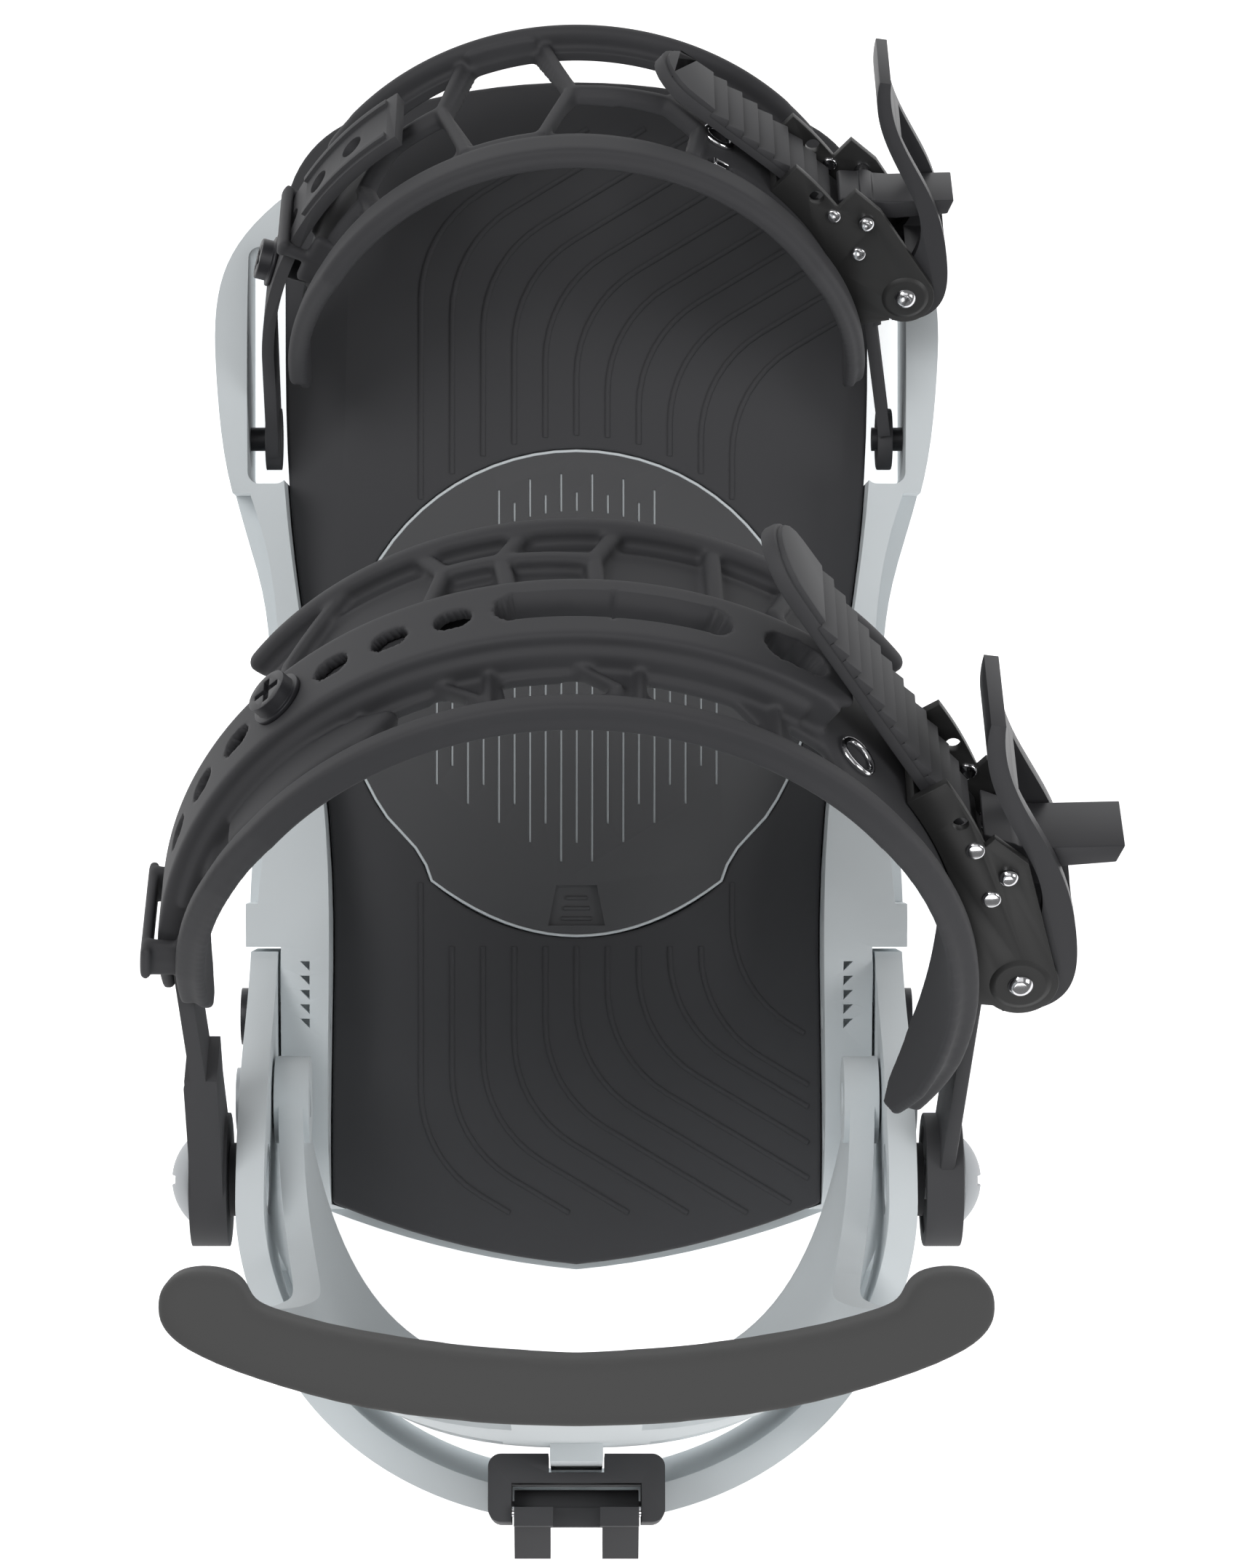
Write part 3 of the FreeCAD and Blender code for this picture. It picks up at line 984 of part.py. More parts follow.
# ---------------------------------------------------------------- buckles
def buckle_set(label, frame, centre, skin, half, pin_out, pin_angle, release_out, release_angle, scale,
               rivet_angles, ladder_top):
    """One ratchet buckle: frame, lever, release lever, pins, springs and rivets, by one recipe."""
    plate = size("frame_plate")
    seat = skin + 0.2
    pin = arch_point(centre, pin_out, pin_angle)
    release = arch_point(centre, release_out, release_angle)
    floor_start = pin_angle - 4.0
    floor_end = rivet_angles[-1] + 12.0
    base = arch_band(centre, seat, seat + plate, floor_start, floor_end, -half, half)
    cheek_parts = []
    for side in (-1, 1):
        low = half - plate if side > 0 else -half
        skirt = arch_band(centre, seat, ladder_top + 2.2 * scale, floor_start, floor_end, low, low + plate)
        lobe = Part.makeCylinder(7.4 * scale, plate, Vec(pin.x, pin.y, low))
        bridge = prism([(pin.x - 3 * scale, pin.y - 7 * scale),
                        (pin.x + 6.5 * scale, pin.y + 3.5 * scale),
                        (release.x + 3.6 * scale, release.y + 3 * scale),
                        (release.x - 3 * scale, release.y + 9 * scale),
                        (release.x - 9 * scale, release.y + 2 * scale),
                        (pin.x - 8 * scale, pin.y)], low, low + plate)
        cheek_parts += [skirt, lobe, bridge]
    body = base.fuse(cheek_parts)
    cutters = [Part.makeCylinder(size("lever_pin_r"), 4 * half, Vec(pin.x, pin.y, -2 * half)),
               Part.makeCylinder(size("release_pin_r"), 4 * half, Vec(release.x, release.y, -2 * half))]
    hole_at = arch_point(centre, ladder_top, rivet_angles[-1] + 5.0)
    cutters.append(Part.makeCylinder(1.5, 4 * half, Vec(hole_at.x, hole_at.y, -2 * half)))
    body = body.cut(cutters)
    below = arch_band(centre, seat - 14, seat, floor_start - 12, floor_end + 12, -half * 3, half * 3)
    body = body.cut(below).removeSplitter()
    keep(feature(label + "_buckle_frame_solid", body, frame), label + "_buckle_frame")

    cheek = plate + 0.4
    width = half - cheek
    tip = pin.add(Vec(-8.0 * scale, 61.0 * scale, 0))
    outside = [pin.add(Vec(2 * scale, -8.5 * scale, 0)), pin.add(Vec(9.0 * scale, -4.0 * scale, 0)),
               pin.add(Vec(10.5 * scale, 9 * scale, 0)), pin.add(Vec(6.0 * scale, 27 * scale, 0)),
               pin.add(Vec(-1.5 * scale, 42 * scale, 0)), tip.add(Vec(2.2 * scale, 0, 0))]
    inner_line = [tip.add(Vec(-0.6 * scale, 0.4 * scale, 0)), pin.add(Vec(-7.2 * scale, 46 * scale, 0)),
                  pin.add(Vec(-1.0 * scale, 32 * scale, 0)), pin.add(Vec(3.4 * scale, 18 * scale, 0)),
                  pin.add(Vec(-1.0 * scale, 6.5 * scale, 0)), pin.add(Vec(-6.0 * scale, 2.0 * scale, 0)),
                  pin.add(Vec(-4.5 * scale, -5.5 * scale, 0))]
    edges = [smooth(outside), Part.makeLine(outside[-1], inner_line[0]), smooth(inner_line),
             Part.makeLine(inner_line[-1], outside[0])]
    lever = Part.Face(Part.Wire(edges)).extrude(Vec(0, 0, 2 * width))
    lever.translate(Vec(0, 0, -width))
    window = Part.makeBox(60, 36.0 * scale, 2 * (width - 3.0 * scale),
                          Vec(pin.x - 30, pin.y + 8 * scale, -width + 3.0 * scale))
    hub_bay = Part.makeBox(60, 19.0 * scale, 2 * (width - 4.2 * scale),
                           Vec(pin.x - 30, pin.y - 8.6 * scale, -width + 4.2 * scale))
    inner_bay = hub_bay.common(Part.makeCylinder(8.0 * scale, 4 * half, Vec(pin.x, pin.y, -2 * half)))
    bore = Part.makeCylinder(size("lever_pin_r") + size("pin_gap"), 4 * half, Vec(pin.x, pin.y, -2 * half))
    clear = arch_band(centre, seat - 10, ladder_top + 0.5, pin_angle - 30, pin_angle + 30,
                      -half * 2, half * 2)
    sweeps = []
    for swing in range(0, int(size("lever_swing")) + 5, 5):
        swept = clear.copy()
        swept.rotate(pin, Vec(0, 0, 1), swing)
        sweeps.append(swept)
    lever = lever.cut([window, inner_bay, bore] + sweeps).removeSplitter()
    keep(feature(label + "_buckle_lever_solid", lever, frame), label + "_buckle_lever")

    tab_half = width - 4.0 * scale
    arm_end = release.add(Vec(21.0 * scale, 1.5 * scale, 0))
    arm = prism([(release.x, release.y - 2.4 * scale), (release.x + 8 * scale, release.y - 2.8 * scale),
                 (arm_end.x, arm_end.y - 3.0 * scale), (arm_end.x + 1.5 * scale, arm_end.y + 1.0 * scale),
                 (release.x + 6 * scale, release.y + 2.0 * scale), (release.x, release.y + 2.6 * scale)],
                -tab_half, tab_half)
    hub = Part.makeCylinder(3.3 * scale, 2 * tab_half, Vec(release.x, release.y, -tab_half))
    nose_tip = arch_point(centre, ladder_top + 0.5, release_angle + 4.0)
    nose = prism([(release.x - 2.6 * scale, release.y - 1.5 * scale),
                  (release.x + 2.0 * scale, release.y + 2.6 * scale),
                  (nose_tip.x + 1.2, nose_tip.y + 1.0), (nose_tip.x, nose_tip.y)], -tab_half, tab_half)
    bore = Part.makeCylinder(size("release_pin_r") + size("pin_gap"), 4 * half,
                             Vec(release.x, release.y, -2 * half))
    sweeps = []
    for swing in range(0, int(size("release_swing")) + 3, 3):
        swept = arch_band(centre, seat - 10, ladder_top + 0.3, release_angle - 20, release_angle + 30,
                          -half * 2, half * 2)
        swept.rotate(release, Vec(0, 0, 1), -swing)
        sweeps.append(swept)
    tab = hub.fuse([arm, nose]).cut([bore] + sweeps)
    keep(feature(label + "_release_lever_solid", tab.removeSplitter(), frame), label + "_release_lever")

    pins = []
    width_name = "frame_half" if label == "ankle" else "toe_frame_half"
    for name, centre_at, radius in ((label + "_lever_pin", pin, "Sizes.lever_pin_r"),
                                    (label + "_release_pin", release, "Sizes.release_pin_r")):
        pins.append(cylinder(name, radius, "Sizes.%s * 2 + 1.2" % width_name,
                             (centre_at.x, centre_at.y, -half - 0.6)))
    pin_group = group(label + "_buckle_pins_group", pins)
    pin_group.Placement = frame
    keep(pin_group, label + "_buckle_pins")

    rivets = []
    for angle in rivet_angles:
        for side in (-1, 1):
            at = arch_point(centre, ladder_top + 0.2, angle, side * (half - plate / 2.0))
            rivets.append(cylinder("%s_rivet_%d_%d" % (label, int(angle * 10), side + 1),
                                   "Sizes.rivet_r * %g" % scale, "Sizes.frame_plate + 1.3",
                                   (at.x, at.y, at.z - plate / 2.0 - 0.65)))
    rivet_group = group(label + "_buckle_rivets_group", rivets)
    rivet_group.Placement = frame
    keep(rivet_group, label + "_buckle_rivets")

    coils = []
    wire = 0.55
    for index in range(4):
        ring = Part.makeTorus(size("lever_pin_r") + wire + 0.35, wire,
                              Vec(pin.x, pin.y, (index - 1.5) * 2 * wire * 1.02))
        coils.append(ring)
    keep(feature(label + "_lever_spring_solid", Part.makeCompound(coils), frame), label + "_lever_spring")


# ---------------------------------------------------------------- toe strap
def toe_widths():
    """The toe strap seen from the side: full width over the toes, narrow at both ends."""
    half = size("toe_half_wide")
    crown = size("toe_arch_centre") + size("toe_out") + 3
    return side_prism([(crown, -half), (crown, half), (58, half), (34, 21), (20, 17), (14, 8),
                       (24, -4), (40, -9), (56, -half)], -80, 80)


def make_toe_strap():
    """The toe cap strap: a web of hexagons between a thin front rim and a broad rear rim."""
    centre = size("toe_arch_centre")
    inner = size("toe_liner_in")
    skin = inner + size("toe_liner_thick")
    half = size("toe_half_wide")
    liner = arch_band(centre, inner, skin, -6, 186, -half, half)
    front = arch_band(centre, skin - 0.5, size("toe_out"), 34, 150, -half, -half + 3.6)
    rear = arch_band(centre, skin - 0.5, skin + 2.0, -6, 184, half - 8.0, half)
    seat = arch_band(centre, skin - 0.5, skin + 0.2, 4, 62, -11.5, 15)
    body = liner.fuse([front, rear, seat]).common(toe_widths())
    keeper = arch_band(centre, skin - 0.4, size("toe_out") + 5.6, 151, 157, -11.5, 11.5)
    body = body.fuse(keeper)
    tools = []
    for index in range(4):
        place = on_arch(centre, skin, 134.0 - 22.5 * index, -8.5)
        tools.append(placed(hexagon(21.5, 24, 0.98), place))
    for angle in (123.0, 100.5, 78.0):
        tools.append(placed(hexagon(12.0, 24, 1.0), on_arch(centre, skin, angle, 8.0)))
    tools.append(arch_band(centre, size("toe_out") + 0.4, size("toe_out") + 3.6, 148, 160, -9.2, 9.2))
    tools.append(placed(Part.makeCylinder(size("toe_screw_r") + size("bore_gap"), 20, Vec(0, 0, -10)),
                        on_arch(centre, skin, size("toe_screw_angle"), 0.0)))
    return keep(feature("toe_strap_solid", body.cut(tools).removeSplitter(), TOE), "toe_strap_body")


def make_toe_extender():
    """The toe extender: from the left anchor through the keeper to its ridged, holed tongue."""
    centre = size("toe_arch_centre")
    inner = size("toe_out") + size("band_gap")
    outer = inner + size("toe_band_thick")
    half = size("toe_extender_half")
    foot = arch_point(centre, (inner + outer) / 2.0, 180)
    tail = foot.y
    band = arch_band(centre, inner, outer, 124, 180, -half, half, 0.0, tail)
    eye = rod(size("toe_arm_r"), Vec(foot.x - 1.6, 0, 0), Vec(foot.x + 1.6, 0, 0))
    foot_half = size("toe_arm_r")
    taper = side_prism([(-8, -foot_half), (-8, foot_half), (30, half), (120, half), (120, -half),
                        (30, -half)], -80, 0)
    body = band.common(taper).fuse(eye)
    tools = [rod(size("toe_pin_r") + size("pin_gap"), Vec(foot.x - 6, 0, 0), Vec(foot.x + 6, 0, 0))]
    for index in range(4):
        angle = size("toe_screw_angle") - 9.5 * index
        tools.append(placed(Part.makeCylinder(size("toe_screw_r") + 0.15, 20, Vec(0, 0, -10)),
                            on_arch(centre, inner, angle, 0.0)))
    body = body.cut(tools)
    for across in (-1, 1):
        body = body.fuse(arch_band(centre, outer - 0.3, outer + 0.8, 126, 148,
                                   across * 6.4 - 0.8, across * 6.4 + 0.8))
    return keep(feature("toe_extender_solid", body.removeSplitter(), TOE), "toe_extender")


def make_toe_ladder():
    """The toe ladder: from the right anchor, through the buckle, to its free end."""
    centre = size("toe_arch_centre")
    inner = size("toe_liner_in") + size("toe_liner_thick") + size("frame_plate") + size("ladder_gap")
    half = size("toe_ladder_half")
    reach = size("toe_reach")
    tooth = size("toe_ladder_tooth")
    ladder = ladder_shape(centre, inner, size("toe_band_thick"), tooth, size("toe_ladder_leave"),
                          size("toe_ladder_tail"), 8, 0.0, half, size("toe_ladder_pitch"), 8)
    start_in = arch_point(centre, inner, 8)
    start_out = arch_point(centre, inner + size("toe_band_thick") + tooth, 8)
    leg = prism([(start_in.x, start_in.y), (start_out.x, start_out.y), (reach + 1.6, 8), (reach + 1.6, -1),
                 (reach - 1.6, -1), (reach - 1.6, 8)], -half, half)
    eye = rod(size("toe_arm_r"), Vec(reach - 1.6, 0, 0), Vec(reach + 1.6, 0, 0))
    foot_half = size("toe_arm_r")
    taper = side_prism([(-8, -foot_half), (-8, foot_half), (22, half), (120, half), (120, -half),
                        (22, -half)], 0, 80)
    bore = rod(size("toe_pin_r") + size("pin_gap"), Vec(reach - 6, 0, 0), Vec(reach + 6, 0, 0))
    body = ladder.fuse([leg]).common(taper).fuse(eye).cut(bore).removeSplitter()
    return keep(feature("toe_ladder_solid", body, TOE), "toe_ladder")


# ---------------------------------------------------------------- screws on the straps
def strap_screw(label, frame, centre, head_out, shank_in, angle, across, shank_r, head_r, nut_thick):
    """A pan-head screw with a cross recess, and its flanged nut inside the strap."""
    nut_in = shank_in - nut_thick
    place = on_arch(centre, shank_in, angle, across)
    shank = cylinder(label + "_shank", "%g" % shank_r, "%g" % (head_out - shank_in + 0.4))
    disc = cylinder(label + "_washer", "%g" % (head_r + 1.0), "0.9", (0, 0, head_out - shank_in))
    dome = cylinder(label + "_head", "%g" % head_r, "2.6", (0, 0, head_out - shank_in + 0.8))
    top = head_out - shank_in + 2.2
    recess_a = box(label + "_recess_a", "6", "1.4", "3", (-3, -0.7, top))
    recess_b = box(label + "_recess_b", "1.4", "6", "3", (-0.7, -3, top))
    whole = join(label + "_whole", [shank, disc, dome])
    screw = cut(label + "_cut", whole, join(label + "_recess", [recess_a, recess_b]))
    screw.Placement = frame.multiply(place)
    keep(screw, label)
    ring = cylinder(label + "_nut_ring", "%g" % (shank_r + 2.6), "%g" % nut_thick)
    bore = cylinder(label + "_nut_bore", "%g" % shank_r, "%g" % (nut_thick + 2), (0, 0, -1))
    nut = cut(label + "_nut_cut", ring, bore)
    nut.Placement = frame.multiply(on_arch(centre, nut_in, angle, across))
    keep(nut, label + "_nut")


make_baseplate()
make_base_pads()
make_footbed()
make_disc()
make_disc_cover()
make_heelcup()
make_highback()
make_highback_pad()
make_lean_adjuster()
make_chassis_fasteners()
make_ankle_strap()
make_ankle_extender()
make_ankle_ladder()
ankle_skin = size("liner_in") + size("liner_thick")
buckle_set("ankle", ANKLE, size("arch_centre"), ankle_skin, size("frame_half"),
           size("lever_pin_out"), size("lever_pin_angle"), size("release_pin_out"),
           size("release_pin_angle"), 1.0, (size("rivet_angle_low"), size("rivet_angle_high")),
           ankle_skin + size("frame_plate") + size("ladder_gap") + size("band_thick")
           + size("ladder_tooth"))
strap_screw("ankle_strap_screw", ANKLE, size("arch_centre"), size("spine_out"), size("liner_in") - 0.2,
            size("strap_screw_angle"), (size("spine_low") + size("spine_high")) / 2.0,
            size("strap_screw_r"), size("strap_screw_head_r"), size("screw_nut_thick"))
make_toe_strap()
make_toe_extender()
make_toe_ladder()
toe_skin = size("toe_liner_in") + size("toe_liner_thick")
buckle_set("toe", TOE, size("toe_arch_centre"), toe_skin, size("toe_frame_half"),
           size("toe_lever_pin_out"), size("toe_lever_pin_angle"), size("toe_release_pin_out"),
           size("toe_release_pin_angle"), size("toe_buckle_scale"),
           (size("toe_rivet_angle_low"), size("toe_rivet_angle_high")),
           toe_skin + size("frame_plate") + size("ladder_gap") + size("toe_band_thick")
           + size("toe_ladder_tooth"))
strap_screw("toe_strap_screw", TOE, size("toe_arch_centre"),
            size("toe_out") + size("band_gap") + size("toe_band_thick"), size("toe_liner_in") - 0.2,
            size("toe_screw_angle"), 0.0, size("toe_screw_r"), size("toe_screw_head_r"),
            size("screw_nut_thick"))

doc.recompute()

# ---------------------------------------------------------------- checks and files
for thing in doc.Objects:
    if "Invalid" in thing.State or "Error" in thing.State:
        raise RuntimeError("%s did not build: %s" % (thing.Name, thing.State))
for node in NODES:
    if node.Shape.isNull() or not node.Shape.isValid() or not node.Shape.Solids:
        raise RuntimeError("%s has no valid solid" % node.Label)

os.makedirs("parts", exist_ok=True)
for node in NODES:
    node.Shape.exportStep("parts/%s.step" % node.Label)
    limits = node.Shape.BoundBox
    print("%-24s solids %d  volume %9.0f  x %7.1f %7.1f  y %7.1f %7.1f  z %7.1f %7.1f" % (
        node.Label, len(node.Shape.Solids), node.Shape.Volume, limits.XMin, limits.XMax,
        limits.YMin, limits.YMax, limits.ZMin, limits.ZMax))
print(len(NODES), "nodes")
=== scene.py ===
"""Looks of a snowboard strap binding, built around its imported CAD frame.  Sizes are in metres."""
import json
import logging
import math
from dataclasses import dataclass
from enum import Enum
from typing import Iterable, Optional, Sequence

import bpy
from mathutils import Matrix, Vector


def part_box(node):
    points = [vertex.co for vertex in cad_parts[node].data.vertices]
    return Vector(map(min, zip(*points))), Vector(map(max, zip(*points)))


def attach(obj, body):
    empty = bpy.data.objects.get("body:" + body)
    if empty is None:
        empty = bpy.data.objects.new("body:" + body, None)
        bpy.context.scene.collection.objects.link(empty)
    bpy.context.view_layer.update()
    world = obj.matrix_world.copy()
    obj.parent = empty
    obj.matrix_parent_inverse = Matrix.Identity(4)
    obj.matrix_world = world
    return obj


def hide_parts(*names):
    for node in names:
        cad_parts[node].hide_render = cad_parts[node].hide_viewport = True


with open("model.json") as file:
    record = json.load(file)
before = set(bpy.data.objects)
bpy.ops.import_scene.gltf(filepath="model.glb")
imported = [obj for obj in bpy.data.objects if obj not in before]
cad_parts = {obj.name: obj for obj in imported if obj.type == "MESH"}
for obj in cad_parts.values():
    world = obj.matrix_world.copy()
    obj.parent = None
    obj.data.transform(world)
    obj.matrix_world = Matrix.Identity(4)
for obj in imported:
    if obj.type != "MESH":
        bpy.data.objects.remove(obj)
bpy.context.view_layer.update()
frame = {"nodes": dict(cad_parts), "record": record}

MM = 0.001
log = logging.getLogger("binding")
logging.basicConfig(level=logging.INFO, format="%(message)s")


# ---------------------------------------------------------------- finishes
class Grain(Enum):
    """How a surface is textured."""

    SPARK = "fine moulded sparkle"
    PEBBLE = "pebbled rubber skin"
    BRUSHED = "drawn or turned metal"
    SMOOTH = "polished moulding"


@dataclass(frozen=True)
class Finish:
    """One surface finish: its colour, gloss, grain and wear.

    Args:
        name: The record's material slot that the finish belongs to.
        colour: Linear base colour.
        roughness: The mean roughness.
        grain: The kind of surface texture.
        grain_size: The size of one grain.
        relief: The depth of the grain.
        mottle: How far the colour drifts from place to place.
        metallic: 1 for bare metal.
        wear: How much lighter the edges are worn.
        coat: The weight of a clear coat.
        sheen: How strongly the surface mirrors, 0.5 for plain plastic.
    """

    name: str
    colour: tuple[float, float, float]
    roughness: float
    grain: Grain
    grain_size: float = 0.5 * MM
    relief: float = 0.05 * MM
    mottle: float = 0.12
    metallic: float = 0.0
    wear: float = 0.15
    coat: float = 0.0
    sheen: float = 0.5

    def material(self) -> bpy.types.Material:
        """Make the node material, or return it if it is made.

        Returns:
            The finish's material.
        """
        if self.name in bpy.data.materials:
            return bpy.data.materials[self.name]
        made = bpy.data.materials.new(self.name)
        made.use_nodes = True
        tree = made.node_tree
        shader = tree.nodes["Principled BSDF"]
        shader.inputs["Metallic"].default_value = self.metallic
        shader.inputs["Coat Weight"].default_value = self.coat
        shader.inputs["Specular IOR Level"].default_value = self.sheen
        shader.inputs["Coat Roughness"].default_value = 0.25
        place = tree.nodes.new("ShaderNodeTexCoord").outputs["Object"]
        fine = self._grain(tree, place)
        self._relief(tree, shader, fine)
        self._tone(tree, shader, place, fine)
        made.diffuse_color = (*self.colour, 1.0)
        return made

    def _grain(self, tree: bpy.types.NodeTree, place: bpy.types.NodeSocket) -> bpy.types.NodeSocket:
        """Make the grain pattern.

        Args:
            tree: The material's nodes.
            place: The Object coordinates.

        Returns:
            The pattern's height, from 0 to 1.
        """
        if self.grain is Grain.PEBBLE:
            cells = tree.nodes.new("ShaderNodeTexVoronoi")
            cells.feature = "SMOOTH_F1"
            cells.inputs["Scale"].default_value = 1.0 / self.grain_size
            cells.inputs["Smoothness"].default_value = 0.6
            tree.links.new(place, cells.inputs["Vector"])
            return cells.outputs["Distance"]
        noise = tree.nodes.new("ShaderNodeTexNoise")
        noise.inputs["Scale"].default_value = 1.0 / self.grain_size
        noise.inputs["Detail"].default_value = 3.0
        noise.inputs["Roughness"].default_value = 0.6
        source = place
        if self.grain is Grain.BRUSHED:
            stretch = tree.nodes.new("ShaderNodeMapping")
            stretch.inputs["Scale"].default_value = (0.08, 1.0, 1.0)
            tree.links.new(place, stretch.inputs["Vector"])
            source = stretch.outputs["Vector"]
        tree.links.new(source, noise.inputs["Vector"])
        return noise.outputs["Fac"]

    def _relief(self, tree: bpy.types.NodeTree, shader: bpy.types.Node, fine: bpy.types.NodeSocket) -> None:
        """Give the grain its relief and its uneven gloss.

        Args:
            tree: The material's nodes.
            shader: The surface shader.
            fine: The grain pattern.
        """
        bump = tree.nodes.new("ShaderNodeBump")
        bump.inputs["Distance"].default_value = self.relief
        bump.inputs["Strength"].default_value = 0.25 if self.grain is Grain.SMOOTH else 0.75
        tree.links.new(fine, bump.inputs["Height"])
        tree.links.new(bump.outputs["Normal"], shader.inputs["Normal"])
        gloss = tree.nodes.new("ShaderNodeMapRange")
        gloss.inputs["To Min"].default_value = self.roughness - 0.07
        gloss.inputs["To Max"].default_value = min(1.0, self.roughness + 0.09)
        tree.links.new(fine, gloss.inputs["Value"])
        tree.links.new(gloss.outputs["Result"], shader.inputs["Roughness"])

    def _tone(self, tree: bpy.types.NodeTree, shader: bpy.types.Node, place: bpy.types.NodeSocket,
              fine: bpy.types.NodeSocket) -> None:
        """Vary the colour in soft patches, along the grain and on worn edges.

        Args:
            tree: The material's nodes.
            shader: The surface shader.
            place: The Object coordinates.
            fine: The grain pattern.
        """
        patches = tree.nodes.new("ShaderNodeTexNoise")
        patches.inputs["Scale"].default_value = 28.0
        patches.inputs["Detail"].default_value = 2.0
        tree.links.new(place, patches.inputs["Vector"])
        drift = self._mix(tree, patches.outputs["Fac"], self._shade(1.0 - self.mottle),
                          self._shade(1.0 + self.mottle))
        speck = tree.nodes.new("ShaderNodeMapRange")
        speck.inputs["From Min"].default_value = 0.35
        speck.inputs["From Max"].default_value = 0.75
        speck.inputs["To Max"].default_value = 0.35
        tree.links.new(fine, speck.inputs["Value"])
        grained = self._mix(tree, speck.outputs["Result"], drift, self._shade(0.72))
        point = tree.nodes.new("ShaderNodeNewGeometry").outputs["Pointiness"]
        edge = tree.nodes.new("ShaderNodeMapRange")
        edge.inputs["From Min"].default_value = 0.52
        edge.inputs["From Max"].default_value = 0.64
        edge.inputs["To Max"].default_value = self.wear
        tree.links.new(point, edge.inputs["Value"])
        light = tuple(min(1.0, part * 1.6 + 0.02) for part in self.colour)
        worn = self._mix(tree, edge.outputs["Result"], grained, light)
        tree.links.new(worn, shader.inputs["Base Color"])

    def _shade(self, factor: float) -> tuple[float, float, float]:
        """The base colour times a factor."""
        return tuple(min(1.0, part * factor) for part in self.colour)

    @staticmethod
    def _mix(tree: bpy.types.NodeTree, factor: bpy.types.NodeSocket, first: object,
             second: object) -> bpy.types.NodeSocket:
        """Mix two colours.

        Args:
            tree: The material's nodes.
            factor: The share of the second colour.
            first: A colour or a colour socket.
            second: A colour or a colour socket.

        Returns:
            The mixed colour.
        """
        mix = tree.nodes.new("ShaderNodeMix")
        mix.data_type = "RGBA"
        tree.links.new(factor, mix.inputs[0])
        for socket, value in ((mix.inputs[6], first), (mix.inputs[7], second)):
            if isinstance(value, tuple):
                socket.default_value = (*value, 1.0)
            else:
                tree.links.new(value, socket)
        return mix.outputs[2]


FINISHES: dict[str, Finish] = {
    finish.name: finish for finish in (
        Finish("nylon_grey", (0.49, 0.555, 0.575), 0.42, Grain.SPARK, 0.35 * MM, 0.02 * MM, 0.03, wear=0.25,
               sheen=0.4),
        Finish("foam_dark", (0.0125, 0.0125, 0.013), 0.85, Grain.PEBBLE, 0.7 * MM, 0.16 * MM, 0.12,
               wear=0.03, sheen=0.10),
        Finish("foam_under", (0.012, 0.012, 0.013), 0.9, Grain.PEBBLE, 0.9 * MM, 0.15 * MM, wear=0.03,
               sheen=0.10),
        Finish("disc_plastic", (0.02, 0.02, 0.021), 0.55, Grain.SPARK, sheen=0.14),
        Finish("cover_plastic", (0.017, 0.017, 0.018), 0.5, Grain.SPARK, 0.5 * MM, 0.03 * MM, 0.08,
               wear=0.06, sheen=0.14),
        Finish("strap_plastic", (0.0065, 0.0065, 0.007), 0.36, Grain.SPARK, 0.5 * MM, 0.03 * MM, 0.12,
               wear=0.05, sheen=0.16),
        Finish("ladder_plastic", (0.010, 0.010, 0.0105), 0.44, Grain.SPARK, 0.45 * MM, 0.03 * MM, 0.12,
               wear=0.08, sheen=0.18),
        Finish("pad_rubber", (0.017, 0.017, 0.018), 0.74, Grain.PEBBLE, 1.0 * MM, 0.22 * MM, 0.12,
               wear=0.03, sheen=0.12),
        Finish("buckle_black", (0.006, 0.006, 0.0065), 0.28, Grain.SMOOTH, 0.8 * MM, 0.01 * MM, 0.1, wear=0.2,
               sheen=0.25),
        Finish("lever_black", (0.008, 0.008, 0.0085), 0.36, Grain.SPARK, 0.5 * MM, 0.02 * MM, 0.1, wear=0.2,
               sheen=0.22),
        Finish("steel_bright", (0.62, 0.62, 0.64), 0.20, Grain.BRUSHED, 0.3 * MM, 0.01 * MM, 0.05, 1.0),
        Finish("steel_black", (0.010, 0.010, 0.011), 0.24, Grain.BRUSHED, 0.4 * MM, 0.01 * MM, 0.1, 0.5,
               wear=0.3, coat=0.2, sheen=0.35),
        Finish("bolt_grey", (0.30, 0.32, 0.34), 0.42, Grain.SPARK, 0.6 * MM, 0.02 * MM, 0.1, 0.2),
        Finish("adjuster_plastic", (0.009, 0.009, 0.0095), 0.36, Grain.SPARK, 0.5 * MM, 0.02 * MM, 0.12,
               wear=0.2, sheen=0.2),
    )
}
SLOT_OF: dict[str, str] = {part["node"]: part["material_slot"] for part in frame["record"]["subparts"]}
BODY_OF: dict[str, str] = {
    node: body for body, nodes in frame["record"]["behaviour"]["bodies"].items() for node in nodes}


# ---------------------------------------------------------------- modelling helpers
def only(piece: bpy.types.Object) -> None:
    """Select one object alone and make it active.

    Args:
        piece: The object to work on.
    """
    if bpy.context.object and bpy.context.object.mode != "OBJECT":
        bpy.ops.object.mode_set(mode="OBJECT")
    bpy.ops.object.select_all(action="DESELECT")
    piece.select_set(True)
    bpy.context.view_layer.objects.active = piece


def settle(piece: bpy.types.Object) -> None:
    """Put an object's place, turn and scale into its mesh."""
    only(piece)
    bpy.ops.object.transform_apply(location=True, rotation=True, scale=True)


def add_modifier(piece: bpy.types.Object, kind: str, **values: object) -> None:
    """Add a modifier, set it and apply it.

    Args:
        piece: The object.
        kind: The modifier's type.
        values: Its settings by name.
    """
    only(piece)
    made = piece.modifiers.new(kind.lower(), kind)
    for name, value in values.items():
        setattr(made, name, value)
    bpy.ops.object.modifier_apply(modifier=made.name)


